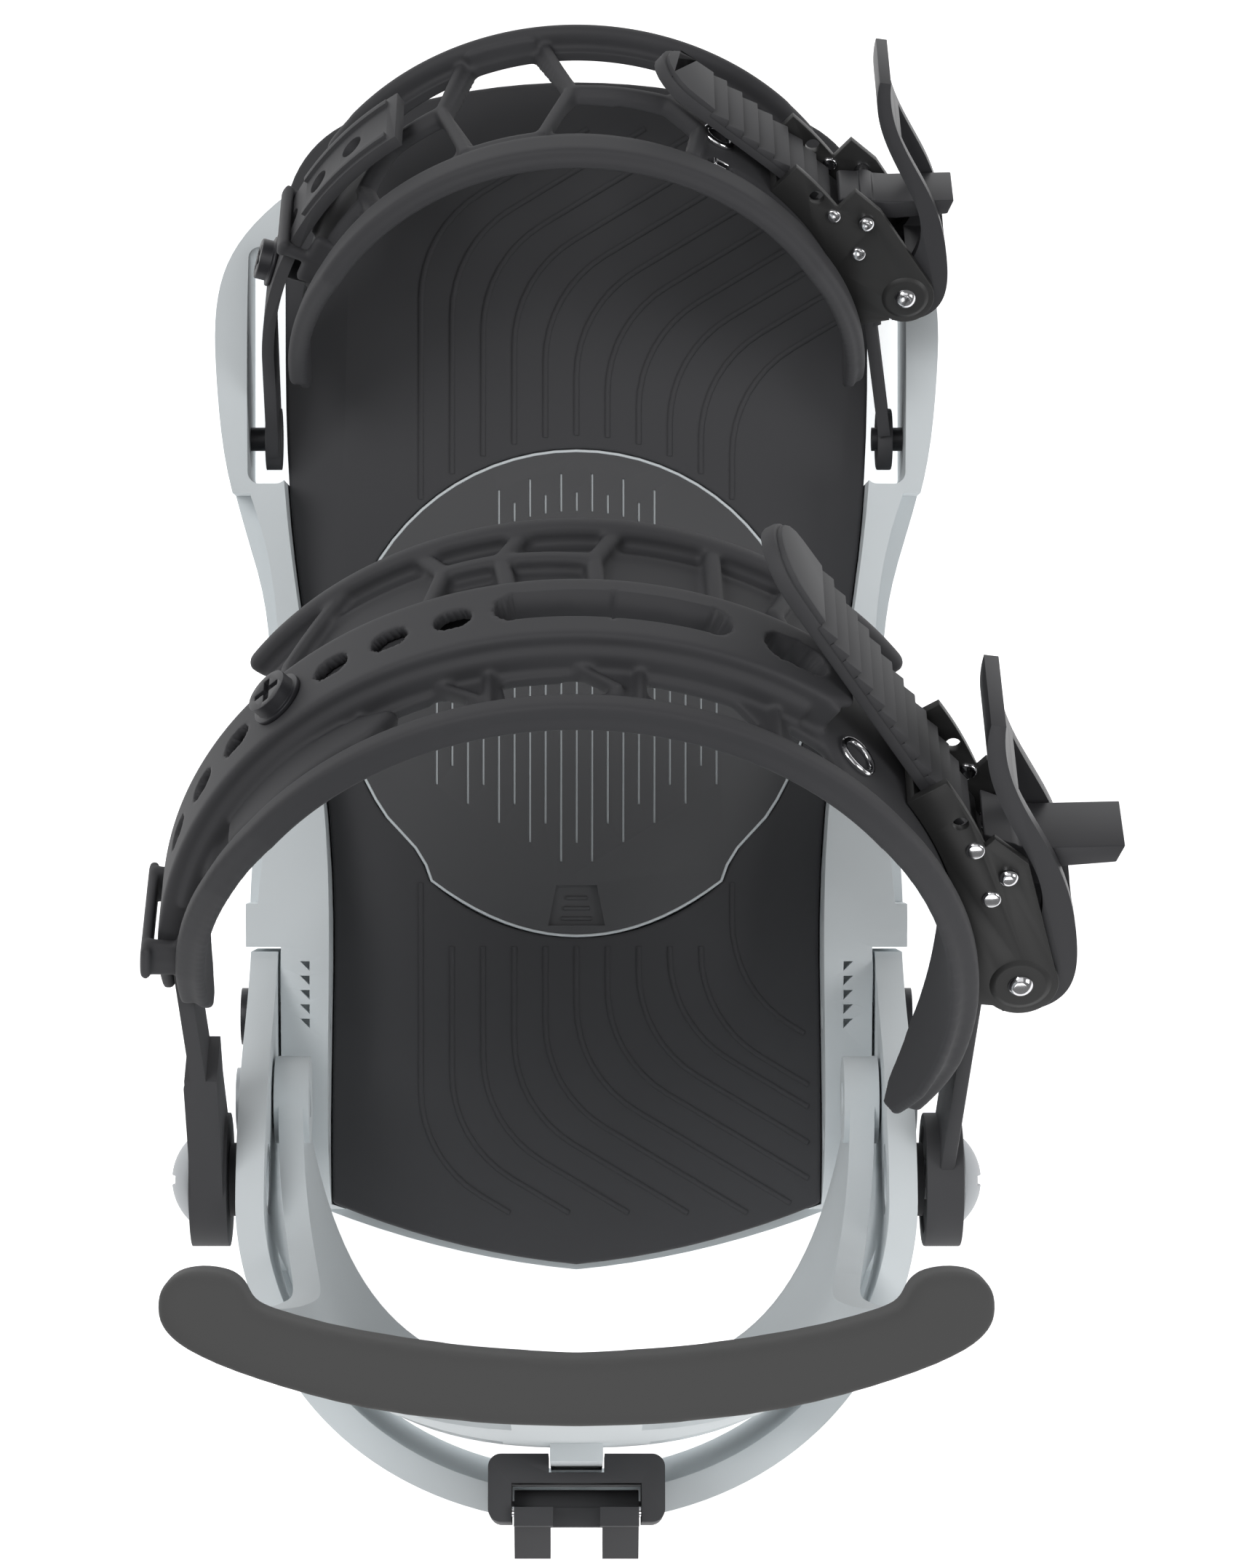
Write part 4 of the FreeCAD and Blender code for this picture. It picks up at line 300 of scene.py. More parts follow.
def smooth_by_angle(piece: bpy.types.Object, degrees: float = 35.0) -> None:
    """Shade smooth, keeping edges sharper than an angle."""
    only(piece)
    bpy.ops.object.shade_smooth_by_angle(angle=math.radians(degrees))


def cross_rod(radius: float, length: float, place: tuple[float, float, float],
              sides: int) -> bpy.types.Object:
    """A rod lying across the binding.

    Args:
        radius: Its radius.
        length: Its length.
        place: Its middle.
        sides: How many sides it has.

    Returns:
        The rod.
    """
    only_none()
    bpy.ops.mesh.primitive_cylinder_add(vertices=sides, radius=radius, depth=length,
                                        rotation=(0, math.pi / 2, 0), location=place)
    piece = bpy.context.object
    settle(piece)
    return piece


def smooth_all(piece: bpy.types.Object) -> None:
    """Shade a piece smooth all over."""
    only(piece)
    bpy.ops.object.shade_smooth()


def face_outwards(piece: bpy.types.Object) -> None:
    """Turn all of a piece's faces outwards."""
    only(piece)
    bpy.ops.object.mode_set(mode="EDIT")
    bpy.ops.mesh.select_all(action="SELECT")
    bpy.ops.mesh.normals_make_consistent(inside=False)
    bpy.ops.object.mode_set(mode="OBJECT")


def raise_outline(outline: Sequence[tuple[float, float]], low: float, high: float) -> bpy.types.Object:
    """Raise a flat outline into a plate.

    Args:
        outline: Its corners in order.
        low: The height of its lower face.
        high: The height of its upper face.

    Returns:
        The plate.
    """
    only_none()
    bpy.ops.mesh.primitive_circle_add(vertices=len(outline), radius=0.01, fill_type="NGON")
    piece = bpy.context.object
    for vertex, (x, y) in zip(piece.data.vertices, outline):
        vertex.co = (x, y, low)
    bpy.ops.object.mode_set(mode="EDIT")
    bpy.ops.mesh.select_all(action="SELECT")
    bpy.ops.mesh.extrude_region_move(TRANSFORM_OT_translate={"value": (0.0, 0.0, high - low)})
    bpy.ops.object.mode_set(mode="OBJECT")
    face_outwards(piece)
    return piece


def draw_bead(name: str, places: Sequence[tuple[float, float, float]], radius: float,
              closed: bool = False) -> bpy.types.Object:
    """Draw a round bead along a line.

    Args:
        name: Its name.
        places: The line's corners.
        radius: Its radius.
        closed: Whether its end meets its start.

    Returns:
        The bead as a mesh.
    """
    curve = bpy.data.curves.new(name, "CURVE")
    curve.dimensions = "3D"
    curve.bevel_depth = radius
    curve.bevel_resolution = 2
    curve.use_fill_caps = not closed
    spline = curve.splines.new("POLY")
    spline.points.add(len(places) - 1)
    for point, place in zip(spline.points, places):
        point.co = (*place, 1.0)
    spline.use_cyclic_u = closed
    made = bpy.data.objects.new(name, curve)
    bpy.context.scene.collection.objects.link(made)
    only(made)
    bpy.ops.object.convert(target="MESH")
    return bpy.context.object


def even_out(piece: bpy.types.Object, voxel: float, steps: int,
             cutters: Sequence[bpy.types.Object] = ()) -> None:
    """Flow a piece's overlapping parts into one skin, cut it and even it out.

    Args:
        piece: The piece.
        voxel: The grid size.
        steps: How many times the surface is evened out.
        cutters: What is cut out before that.
    """
    add_modifier(piece, "REMESH", mode="VOXEL", voxel_size=voxel, use_smooth_shade=True)
    if cutters:
        Plan.cut(piece, [join(list(cutters))])
    add_modifier(piece, "SMOOTH", factor=0.5, iterations=steps)


def dress(piece: bpy.types.Object, slot: str) -> None:
    """Give an object the finish of a material slot alone.

    Args:
        piece: The object.
        slot: The record's material slot.
    """
    piece.data.materials.clear()
    piece.data.materials.append(FINISHES[slot].material())


def install(piece: bpy.types.Object, name: str, nodes: Sequence[str], slot: Optional[str] = None,
            body: Optional[str] = None) -> bpy.types.Object:
    """Name and dress a piece, ride it on its body and let it stand for its CAD nodes.

    Args:
        piece: The finished piece.
        name: Its name.
        nodes: The CAD nodes it replaces.
        slot: Its material slot, the first node's if none is given.
        body: The body it rides on, the first node's if none is given.

    Returns:
        The piece.
    """
    piece.name = name
    piece.data.name = name
    slot = slot or SLOT_OF[nodes[0]]
    dress(piece, slot)
    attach(piece, body or BODY_OF[nodes[0]])
    if nodes:
        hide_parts(*nodes)
    log.info("%-28s %6d faces, rides on %s", name, len(piece.data.polygons), body or BODY_OF[nodes[0]])
    return piece


def join(pieces: Sequence[bpy.types.Object]) -> bpy.types.Object:
    """Join objects into the first of them.

    Args:
        pieces: The objects.

    Returns:
        The joined object.
    """
    only(pieces[0])
    for piece in pieces[1:]:
        piece.select_set(True)
    if len(pieces) > 1:
        bpy.ops.object.join()
    return bpy.context.view_layer.objects.active


def copy_node(node: str) -> bpy.types.Object:
    """Copy a CAD node's mesh into a new object with its doubles merged and flat areas cleared.

    Args:
        node: The CAD node.

    Returns:
        The copy.
    """
    source = frame["nodes"][node]
    piece = bpy.data.objects.new(node + "_copy", source.data.copy())
    bpy.context.scene.collection.objects.link(piece)
    only(piece)
    bpy.ops.object.mode_set(mode="EDIT")
    bpy.ops.mesh.select_all(action="SELECT")
    bpy.ops.mesh.remove_doubles(threshold=0.004 * MM)
    bpy.ops.mesh.dissolve_limited(angle_limit=math.radians(0.6))
    bpy.ops.object.mode_set(mode="OBJECT")
    return piece


def soften(node: str, round_over: float, segments: int = 2, sharp: float = 30.0) -> bpy.types.Object:
    """Copy a CAD node and round its edges over, as a mould or a tumbler leaves them.

    Args:
        node: The CAD node.
        round_over: The width of the rounding.
        segments: How many faces make it.
        sharp: The angle in degrees from which an edge is rounded.

    Returns:
        The softened copy.
    """
    piece = copy_node(node)
    add_modifier(piece, "BEVEL", width=round_over, segments=segments, limit_method="ANGLE",
                 angle_limit=math.radians(sharp), harden_normals=False, use_clamp_overlap=True,
                 miter_outer="MITER_ARC")
    smooth_by_angle(piece, 38.0)
    return piece


# ---------------------------------------------------------------- studio
@dataclass
class Studio:
    """The camera straight above the binding, the pale floor and the soft lights."""

    camera_height: float = 1.077
    camera_y: float = -0.027
    lens: float = 114.8
    shift: float = 0.0325
    floor_size: float = 40.0
    sky: float = 0.2
    floor_glow: float = 0.65
    aim: tuple[float, float, float] = (0.0, -0.02, 0.08)
    lamps: tuple[tuple[tuple[float, float, float], float, float], ...] = (
        ((-0.7, 0.5, 1.5), 0.7, 10.5), ((1.1, -0.2, 0.9), 0.6, 5.0),
        ((0.1, -1.3, 0.9), 0.7, 3.5), ((0.0, 0.0, 2.2), 1.6, 6.0))

    def build(self) -> None:
        """Make the camera, the floor and the lights."""
        self._camera()
        self._floor()
        self._lights()

    def _camera(self) -> None:
        """Look straight down, the toe towards the top of the frame."""
        bpy.ops.object.camera_add(location=(0.0, self.camera_y, self.camera_height), rotation=(0, 0, 0))
        camera = bpy.context.object
        camera.data.lens = self.lens
        camera.data.sensor_width = 36.0
        camera.data.shift_x = self.shift
        camera.data.clip_start = 0.01
        bpy.context.scene.camera = camera

    def _floor(self) -> None:
        """A plain pale floor."""
        only_none()
        bpy.ops.mesh.primitive_plane_add(size=self.floor_size, location=(0, 0, 0))
        floor = bpy.context.object
        floor.name = "studio_floor"
        paint = bpy.data.materials.new("studio_paper")
        paint.use_nodes = True
        shader = paint.node_tree.nodes["Principled BSDF"]
        shader.inputs["Base Color"].default_value = (0.93, 0.93, 0.93, 1.0)
        shader.inputs["Roughness"].default_value = 0.9
        shader.inputs["Emission Color"].default_value = (1.0, 1.0, 1.0, 1.0)
        shader.inputs["Emission Strength"].default_value = self.floor_glow
        floor.data.materials.append(paint)

    def _lights(self) -> None:
        """A broad key from the upper left, a fill and a rim, under a pale sky."""
        for place, size, power in self.lamps:
            bpy.ops.object.light_add(type="AREA", location=place)
            light = bpy.context.object
            light.data.energy = power
            light.data.size = size
            aim = Vector(self.aim) - Vector(place)
            light.rotation_euler = aim.to_track_quat("-Z", "Y").to_euler()
        world = bpy.data.worlds.new("studio_sky")
        world.use_nodes = True
        sky = world.node_tree.nodes["Background"]
        sky.inputs["Color"].default_value = (1.0, 1.0, 1.0, 1.0)
        sky.inputs["Strength"].default_value = self.sky
        bpy.context.scene.world = world
        bpy.context.scene.view_settings.view_transform = "Standard"


def only_none() -> None:
    """Deselect everything, in object mode."""
    if bpy.context.object and bpy.context.object.mode != "OBJECT":
        bpy.ops.object.mode_set(mode="OBJECT")
    bpy.ops.object.select_all(action="DESELECT")


# ---------------------------------------------------------------- footbed
@dataclass
class Footbed:
    """The foam footbed with its raised lines, which bend from the disc cover to the buckle side."""

    first_x: float = -33.0 * MM
    pitch: float = 6.6 * MM
    lines: int = 11
    line_radius: float = 0.7 * MM
    bend_radius: float = 26.0 * MM
    slant: float = 31.0
    edge_round: float = 0.9 * MM
    edge_clear: float = 3.0 * MM
    line_sunk: float = 0.35
    cover_toe: float = 44.0 * MM
    cover_heel: float = 60.0 * MM
    toe_bend: tuple[float, float] = (76.0, 33.0)
    heel_bend: tuple[float, float] = (92.0, 36.0)

    def build(self) -> None:
        """Make the bed and the lines as one piece."""
        bed = soften("footbed", self.edge_round, 3, 40.0)
        low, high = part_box("footbed")
        self.bed = bed
        self.top = high[2]
        lines = [bed]
        for index in range(self.lines):
            x = self.first_x + index * self.pitch
            share = (x - self.first_x) / (2 * abs(self.first_x))
            toe = (1.0, self.cover_toe, self.toe_bend, high[1] - 4 * MM)
            heel = (-1.0, self.cover_heel, self.heel_bend, -low[1] - 5 * MM)
            for way, clear, (start, fall), end in (toe, heel):
                lines.append(self._line(x, way, clear, (start - fall * share) * MM, end))
        install(join(lines), "footbed_foam", ["footbed"])

    def _over_bed(self, place: Vector, way: float) -> bool:
        """Whether a place on the plan lies over the bed.

        Args:
            place: The place, its y counted away from the middle.
            way: 1 towards the toe, -1 towards the heel.

        Returns:
            True over the foam.
        """
        start = Vector((place.x, place.y * way, self.top + 20 * MM))
        return self.bed.ray_cast(start, Vector((0.0, 0.0, -1.0)))[0]

    def _line(self, x: float, way: float, clear: float, bend_y: float, end_y: float) -> bpy.types.Object:
        """One raised line: straight from the disc cover, then bent to the buckle side.

        Args:
            x: Where it leaves the cover.
            way: 1 towards the toe, -1 towards the heel.
            clear: The cover's reach along the middle.
            bend_y: Where it starts to bend.
            end_y: How far the bed goes that way.

        Returns:
            The line's mesh.
        """
        reach = 47.0 * MM
        start_y = math.sqrt(max(0.0, reach ** 2 - x ** 2)) if way > 0 else \
            (clear + 1.5 * MM if abs(x) < 31 * MM else 48.0 * MM)
        bend_y = max(bend_y, start_y + 1.0 * MM)
        points = [Vector((x, start_y, 0)), Vector((x, bend_y, 0))]
        turn = math.radians(90.0 - self.slant)
        for step in range(1, 9):
            angle = turn * step / 8.0
            points.append(Vector((x + self.bend_radius * (1 - math.cos(angle)),
                                  bend_y + self.bend_radius * math.sin(angle), 0)))
        ahead = Vector((math.cos(math.radians(self.slant)), math.sin(math.radians(self.slant)), 0))
        last = points[-1]
        edge = 50.0 * MM if way < 0 else 59.0 * MM
        room = min((edge - last.x) / ahead.x, (end_y - 6 * MM - last.y) / ahead.y)
        while room > 0 and not self._over_bed(last + ahead * (room + self.edge_clear), way):
            room -= 1.0 * MM
        if room > 0:
            points.append(last + ahead * room)
        height = self.top - self.line_radius * self.line_sunk
        places = [(place.x, place.y * way, height) for place in points]
        return draw_bead("bed_line", places, self.line_radius)


# ---------------------------------------------------------------- top pad
@dataclass
class TopPad:
    """The soft cap along the highback's top edge: a thick roll whose blunt ends turn forward and in.

    Its left edge is given in millimetres, from the middle of the rear edge round to the middle of the
    front edge.
    """

    edge: tuple[tuple[float, float], ...] = (
        (0.0, -131.7), (-15.0, -131.3), (-35.0, -128.9), (-52.0, -124.2), (-61.0, -120.6), (-65.4, -117.6),
        (-66.8, -114.2), (-66.2, -110.6), (-63.4, -108.2), (-58.5, -107.8), (-54.4, -108.9),
        (-52.4, -110.9), (-52.6, -113.2), (-46.0, -115.4), (-35.5, -117.9), (-17.4, -120.5), (0.0, -121.4))
    voxel: float = 1.1 * MM
    evenings: int = 14

    def build(self) -> None:
        """Raise the outline to the cap's height, round it all over and fit it to the cap's place."""
        low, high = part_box("highback_pad")
        left = self._rounded(self.edge)
        outline = left + [(-x, y) for x, y in reversed(left[1:-1])]
        piece = raise_outline([(x * MM, y * MM) for x, y in outline], low[2], high[2])
        even_out(piece, self.voxel, self.evenings)
        fit_box(piece, low, high)
        smooth_all(piece)
        pad = install(piece, "top_pad_cushion", ["highback_pad"])

    @staticmethod
    def _rounded(corners: Sequence[tuple[float, float]]) -> list[tuple[float, float]]:
        """Cut the corners of an open line twice, and keep its two ends."""
        line = list(corners)
        for _ in range(2):
            finer = [line[0]]
            for (ax, ay), (bx, by) in zip(line, line[1:]):
                finer.append((0.75 * ax + 0.25 * bx, 0.75 * ay + 0.25 * by))
                finer.append((0.25 * ax + 0.75 * bx, 0.25 * ay + 0.75 * by))
            finer.append(line[-1])
            line = finer
        return line


def fit_box(piece: bpy.types.Object, low: Sequence[float], high: Sequence[float]) -> None:
    """Stretch a piece to a box, axis by axis, as evening out draws it in a little."""
    corners = [vertex.co for vertex in piece.data.vertices]
    for axis in range(3):
        near = min(corner[axis] for corner in corners)
        far = max(corner[axis] for corner in corners)
        stretch = (high[axis] - low[axis]) / (far - near)
        for corner in corners:
            corner[axis] = low[axis] + (corner[axis] - near) * stretch


# ---------------------------------------------------------------- straps
@dataclass(frozen=True)
class Arch:
    """The tilted half circle that a strap follows, and the way from a flat plan onto it.

    A flat plan has u along the strap (0 at the crown, growing towards the extender side), v across
    it (growing up and back) and h outwards from the strap's inner face.

    Args:
        place_y: The arch plane's origin along the binding.
        place_z: The arch plane's origin above the floor.
        tilt: How far the plane leans back, in degrees.
        centre: The height of the circle's centre in the plane.
        radius: The radius of the strap's inner face.
    """

    place_y: float
    place_z: float
    tilt: float
    centre: float
    radius: float

    def along(self, angle: float) -> float:
        """The plan's u for an angle round the arch, in degrees."""
        return math.radians(angle - 90.0) * self.radius

    def frame(self) -> Matrix:
        """The arch plane's frame in the binding."""
        return Matrix.Translation((0.0, self.place_y, self.place_z)) @ Matrix.Rotation(
            math.radians(self.tilt), 4, "X")

    def onto(self, point: Vector) -> Vector:
        """Carry a plan point onto the arch.

        Args:
            point: u, v and h.

        Returns:
            The point in the binding's frame.
        """
        turn = math.pi / 2 + point.x / self.radius
        reach = self.radius + point.z
        flat = Vector((reach * math.cos(turn), self.centre + reach * math.sin(turn), point.y))
        return self.frame() @ flat

    def wrap(self, piece: bpy.types.Object) -> None:
        """Bend a finished flat piece onto the arch, its faces outwards."""
        for vertex in piece.data.vertices:
            vertex.co = self.onto(vertex.co)
        piece.data.update()
        face_outwards(piece)


ANKLE_ARCH = Arch(-107.0 * MM, 65.0 * MM, 38.3, 66.5 * MM, 71.0 * MM)
TOE_ARCH = Arch(46.0 * MM, 18.0 * MM, 38.0, 25.0 * MM, 55.5 * MM)


@dataclass
class Plan:
    """Makes the flat shapes of a strap: slabs, bars, rings and cutters, before it is bent.

    Args:
        arch: The arch that the strap follows.
    """

    arch: Arch

    def at(self, angle: float, across: float) -> tuple[float, float]:
        """The plan point of an angle round the arch and a place across it in millimetres."""
        return self.arch.along(angle), across * MM

    def slab(self, outline: Sequence[tuple[float, float]], low: float, high: float,
             round_over: float = 0.0) -> bpy.types.Object:
        """A flat plate with an outline.

        Args:
            outline: Its corners as angle and place across, in order.
            low: Its inner face, in millimetres.
            high: Its outer face, in millimetres.
            round_over: The rounding of its edges, in millimetres.

        Returns:
            The plate.
        """
        piece = raise_outline([self.at(angle, across) for angle, across in outline], low * MM, high * MM)
        if round_over:
            add_modifier(piece, "BEVEL", width=round_over * MM, segments=3, limit_method="ANGLE",
                         angle_limit=math.radians(40))
        return piece

    def band(self, start: float, end: float, low_v: float, high_v: float, low: float, high: float,
             round_over: float = 0.0) -> bpy.types.Object:
        """A plain band between two angles."""
        return self.slab([(start, low_v), (end, low_v), (end, high_v), (start, high_v)], low, high,
                         round_over)

    def bar(self, start: tuple[float, float], end: tuple[float, float], width: float, low: float,
            high: float, round_over: float = 0.9) -> bpy.types.Object:
        """A rounded strut between two plan places.

        Args:
            start: Angle and place across of one end.
            end: Angle and place across of the other.
            width: Its width in millimetres.
            low: Its inner face.
            high: Its outer face.
            round_over: The rounding of its edges.

        Returns:
            The strut.
        """
        first = Vector((*self.at(*start), 0.0))
        last = Vector((*self.at(*end), 0.0))
        only_none()
        middle = (first + last) / 2
        bpy.ops.mesh.primitive_cube_add(size=1.0, location=(middle.x, middle.y, (low + high) / 2 * MM))
        piece = bpy.context.object
        run = last - first
        piece.scale = (run.length + width * MM, width * MM, (high - low) * MM)
        piece.rotation_euler = (0.0, 0.0, math.atan2(run.y, run.x))
        settle(piece)
        add_modifier(piece, "BEVEL", width=round_over * MM, segments=3)
        return piece

    def chain(self, places: Sequence[tuple[float, float]], width: float, low: float, high: float,
              round_over: float = 0.9) -> list[bpy.types.Object]:
        """Struts joining places one after another."""
        return [self.bar(first, last, width, low, high, round_over)
                for first, last in zip(places, places[1:])]

    def hole(self, angle: float, across: float, length: float, width: float) -> bpy.types.Object:
        """A round-ended slot cutter along the strap, a round hole where its sides are equal.

        Args:
            angle: Its middle's angle.
            across: Its middle's place across.
            length: Its length in millimetres.
            width: Its width in millimetres.

        Returns:
            The cutter.
        """
        u, v = self.at(angle, across)
        only_none()
        bpy.ops.mesh.primitive_cylinder_add(vertices=24, radius=width / 2 * MM, depth=30 * MM,
                                            location=(0.0, 0.0, 0.0))
        piece = bpy.context.object
        stretch = (length - width) / 2 * MM
        for vertex in piece.data.vertices:
            vertex.co.x += math.copysign(stretch, vertex.co.x) if abs(vertex.co.x) > 1e-6 else 0.0
        piece.location = (u, v, 5 * MM)
        settle(piece)
        return piece

    @staticmethod
    def cut(piece: bpy.types.Object, cutters: Iterable[bpy.types.Object]) -> bpy.types.Object:
        """Take cutters out of a piece, and remove them."""
        for cutter in cutters:
            add_modifier(piece, "BOOLEAN", operation="DIFFERENCE", object=cutter, solver="EXACT")
            bpy.data.objects.remove(cutter)
        return piece

    def mould(self, parts: Sequence[bpy.types.Object], voxel: float, soften_steps: int,
              cutters: Sequence[bpy.types.Object] = ()) -> bpy.types.Object:
        """Flow overlapping flat parts into one moulded body, cut it, and bend it onto the arch.

        Args:
            parts: Closed flat parts.
            voxel: The grid size in millimetres, which sets the smallest radius.
            soften_steps: How many times the surface is evened out.
            cutters: What is cut out of it all.

        Returns:
            The strap's body in its place.
        """
        body = join(list(parts))
        even_out(body, voxel * MM, soften_steps, cutters)
        self.arch.wrap(body)
        smooth_all(body)
        return body


@dataclass
class ToeStrap:
    """The toe cap strap: open hexagon cells between a front rim and a broad stitched rear rim."""

    plan: Plan
    half_wide: float = 24.0
    skin: float = 2.2
    strut_wide: float = 2.3
    rim_high: float = 6.3
    voxel: float = 0.5
    stitch_length: float = 2.0
    stitch_gap: float = 1.1

    def outline(self) -> list[tuple[float, float]]:
        """The strap's plan outline: full width over the toes, pointed at both ends."""
        front = [(186, 3), (180, -3), (170, -8), (160, -13), (152, -20), (146, -24), (34, -24), (24, -17),
                 (12, -9), (2, -3), (-5, 3)]
        rear = [(-6, 9), (-3, 13), (6, 17), (20, 21), (32, 24), (150, 24), (162, 20), (174, 16), (183, 12),
                (187, 8)]
        return front + rear

    def cells(self) -> list[list[tuple[float, float]]]:
        """The open cells between the struts."""
        return [
            [(111.5, -19), (99, -19), (92.5, -3), (98, 13.2), (110.5, 13.2), (116.5, -4.5)],
            [(115.5, -19), (133, -19), (138.5, -13), (131, -7.5), (119.8, -7.2)],
            [(95, -19), (71, -19), (66, -14), (72, -5.5), (89.3, -3.8)],
            [(119.3, -3.8), (131, -3.8), (137, 3.5), (134, 13.2), (115.5, 13.2), (113.8, 9.5)],
            [(90, -0.6), (72, -1.5), (66, 3.5), (67.5, 13.2), (95, 13.2), (96.3, 10.5)],
            [(143, -17), (155, -10.6), (158, -10.4), (150, -10.6), (141, -11)],
            [(139.5, 10.8), (141, 14.4), (155, 14.4), (157, 11)],
        ]

    def build(self) -> None:
        """Make the body, its seam, its metal eyelets and its keeper loop."""
        plan = self.plan
        sheet = plan.slab(self.outline(), 0.0, self.skin, 0.5)
        sheet = plan.cut(sheet, [plan.slab(cell, -3.0, 8.0) for cell in self.cells()])
        parts = [sheet]
        parts += self._struts()
        parts.append(plan.band(36, 148, -self.half_wide, -20.6, 0.0, self.rim_high, 1.5))
        parts.append(plan.band(44, 140, -self.half_wide + 0.6, -21.2, 4.5, self.rim_high + 0.15, 0.8))
        rear = [(184, 9), (174, 12.6), (162, 16), (150, 17.0), (134, 16.2), (32, 16.2), (18, 13.5), (4, 9.5),
                (-4, 7.5), (-4, 10), (4, 15.5), (20, 20.3), (33, 23.3), (150, 23.3), (162, 19.4),
                (175, 15.3), (184, 11.5)]
        parts.append(plan.slab(rear, 0.3, self.skin + 1.9, 1.3))
        parts.append(plan.band(8, 58, -11.2, 12.0, 0.5, self.skin + 0.15, 0.4))
        cutters = [plan.hole(163.0, 0.0, 5.4, 5.4), plan.hole(60.0, 13.0, 5.6, 2.4)]
        body = plan.mould(parts, self.voxel, 3, cutters)
        loop = self._keeper()
        install(join([body, loop]), "toe_strap_shell", ["toe_strap_body"])
        self._stitches()
        self._eyelet()

    def _struts(self) -> list[bpy.types.Object]:
        """The rounded ribs that frame the cells."""
        plan, wide = self.plan, self.strut_wide
        lines = [
            [(113.6, -21.5), (118.2, -6), (112.4, 14.5)], [(96.8, -21.5), (91.2, -2.4), (96.8, 14.5)],
            [(118.2, -6), (131.5, -5.6), (139.5, -10.5), (134.5, -21)],
            [(131.5, -5.6), (138.8, 3.2), (135.5, 15)],
            [(91.2, -2.4), (71.5, -3.4), (64.5, -13), (69.5, -21.5)],
            [(71.5, -3.4), (64.4, 3.2), (65.8, 14.5)],
            [(139.5, -10.5), (158, -8.5)], [(138.8, 9), (160, 9)],
        ]
        bars: list[bpy.types.Object] = []
        for line in lines:
            bars += plan.chain(line, wide, 0.2, self.skin + 1.5, 0.9)
        bars.append(plan.bar((111.5, -20.2), (98.5, -20.2), 1.6, 0.2, 5.6, 0.7))
        bars.append(plan.bar((111, 14.6), (98, 14.6), 2.2, 0.2, self.skin + 1.2, 0.8))
        return bars

    def _keeper(self) -> bpy.types.Object:
        """The loop that holds the extender's tongue down: two posts and a round-edged bridge."""
        plan = self.plan
        posts = [plan.bar((154, side * 10.4), (154, side * 10.5), 2.2, 1.2, 11.2, 0.8) for side in (-1, 1)]
        bridge = plan.bar((154, -10.2), (154, 10.2), 3.0, 9.9, 12.0, 0.9)
        root = [plan.bar((150, side * 10.3), (158, side * 10.3), 2.4, 1.2, 6.0, 0.9) for side in (-1, 1)]
        return plan.mould(posts + [bridge] + root, 0.4, 4)

    def _stitches(self) -> None:
        """The seam along the rear rim: short raised stitches in a row."""
        only_none()
        bpy.ops.mesh.primitive_uv_sphere_add(segments=8, ring_count=6, radius=0.34 * MM)
        stitch = bpy.context.object
        stitch.scale = (self.stitch_length / 0.68, 1.0, 0.8)
        settle(stitch)
        copies = []
        step = self.stitch_length + self.stitch_gap
        start, end = self.plan.arch.along(4.0) / MM, self.plan.arch.along(176.0) / MM
        seam = [(4.0, 9.2), (20.0, 13.6), (33.0, 16.0), (134.0, 16.0), (150.0, 16.6), (163.0, 15.2),
                (176.0, 11.6)]
        for index in range(int((end - start) / step)):
            u = start + index * step
            angle = 90.0 + math.degrees(u * MM / self.plan.arch.radius)
            across = across_at(seam, angle)
            mesh = stitch.data.copy()
            copy = bpy.data.objects.new("stitch", mesh)
            bpy.context.scene.collection.objects.link(copy)
            copy.location = (u * MM, across * MM, (self.skin + 0.35) * MM)
            copies.append(copy)
        bpy.data.objects.remove(stitch)
        seam_piece = join(copies)
        settle(seam_piece)
        self.plan.arch.wrap(seam_piece)
        smooth_all(seam_piece)
        install(seam_piece, "toe_strap_seam", [], "strap_plastic", "toe_strap")

    def _eyelet(self) -> None:
        """The bright T-nut's rim and the small wire staple on the smooth side."""
        only_none()
        bpy.ops.mesh.primitive_torus_add(major_radius=2.9 * MM, minor_radius=0.75 * MM, major_segments=32,
                                         minor_segments=10)
        ring = bpy.context.object
        u, v = self.plan.at(60.5, 3.0)
        ring.location = (u, v, (self.skin + 0.5) * MM)
        settle(ring)
        staple = [self.plan.bar((58.6, 12.2), (61.4, 12.2), 0.7, self.skin - 0.6, self.skin + 0.6, 0.25),
                  self.plan.bar((61.4, 12.2), (61.4, 14.0), 0.7, self.skin - 0.6, self.skin + 0.6, 0.25)]
        piece = join([ring] + staple)
        self.plan.arch.wrap(piece)
        smooth_by_angle(piece, 50.0)
        install(piece, "toe_strap_eyelet", [], "steel_bright", "toe_strap")


def across_at(line: Sequence[tuple[float, float]], angle: float) -> float:
    """The place across a strap at an angle, on a broken line.

    Args:
        line: Its corners as angle and place across, the angles growing.
        angle: Where it is wanted.

    Returns:
        The place across.
    """
    for (first, low), (last, high) in zip(line, line[1:]):
        if first <= angle <= last:
            return low + (high - low) * (angle - first) / (last - first)
    return line[-1][1] if angle > line[-1][0] else line[0][1]


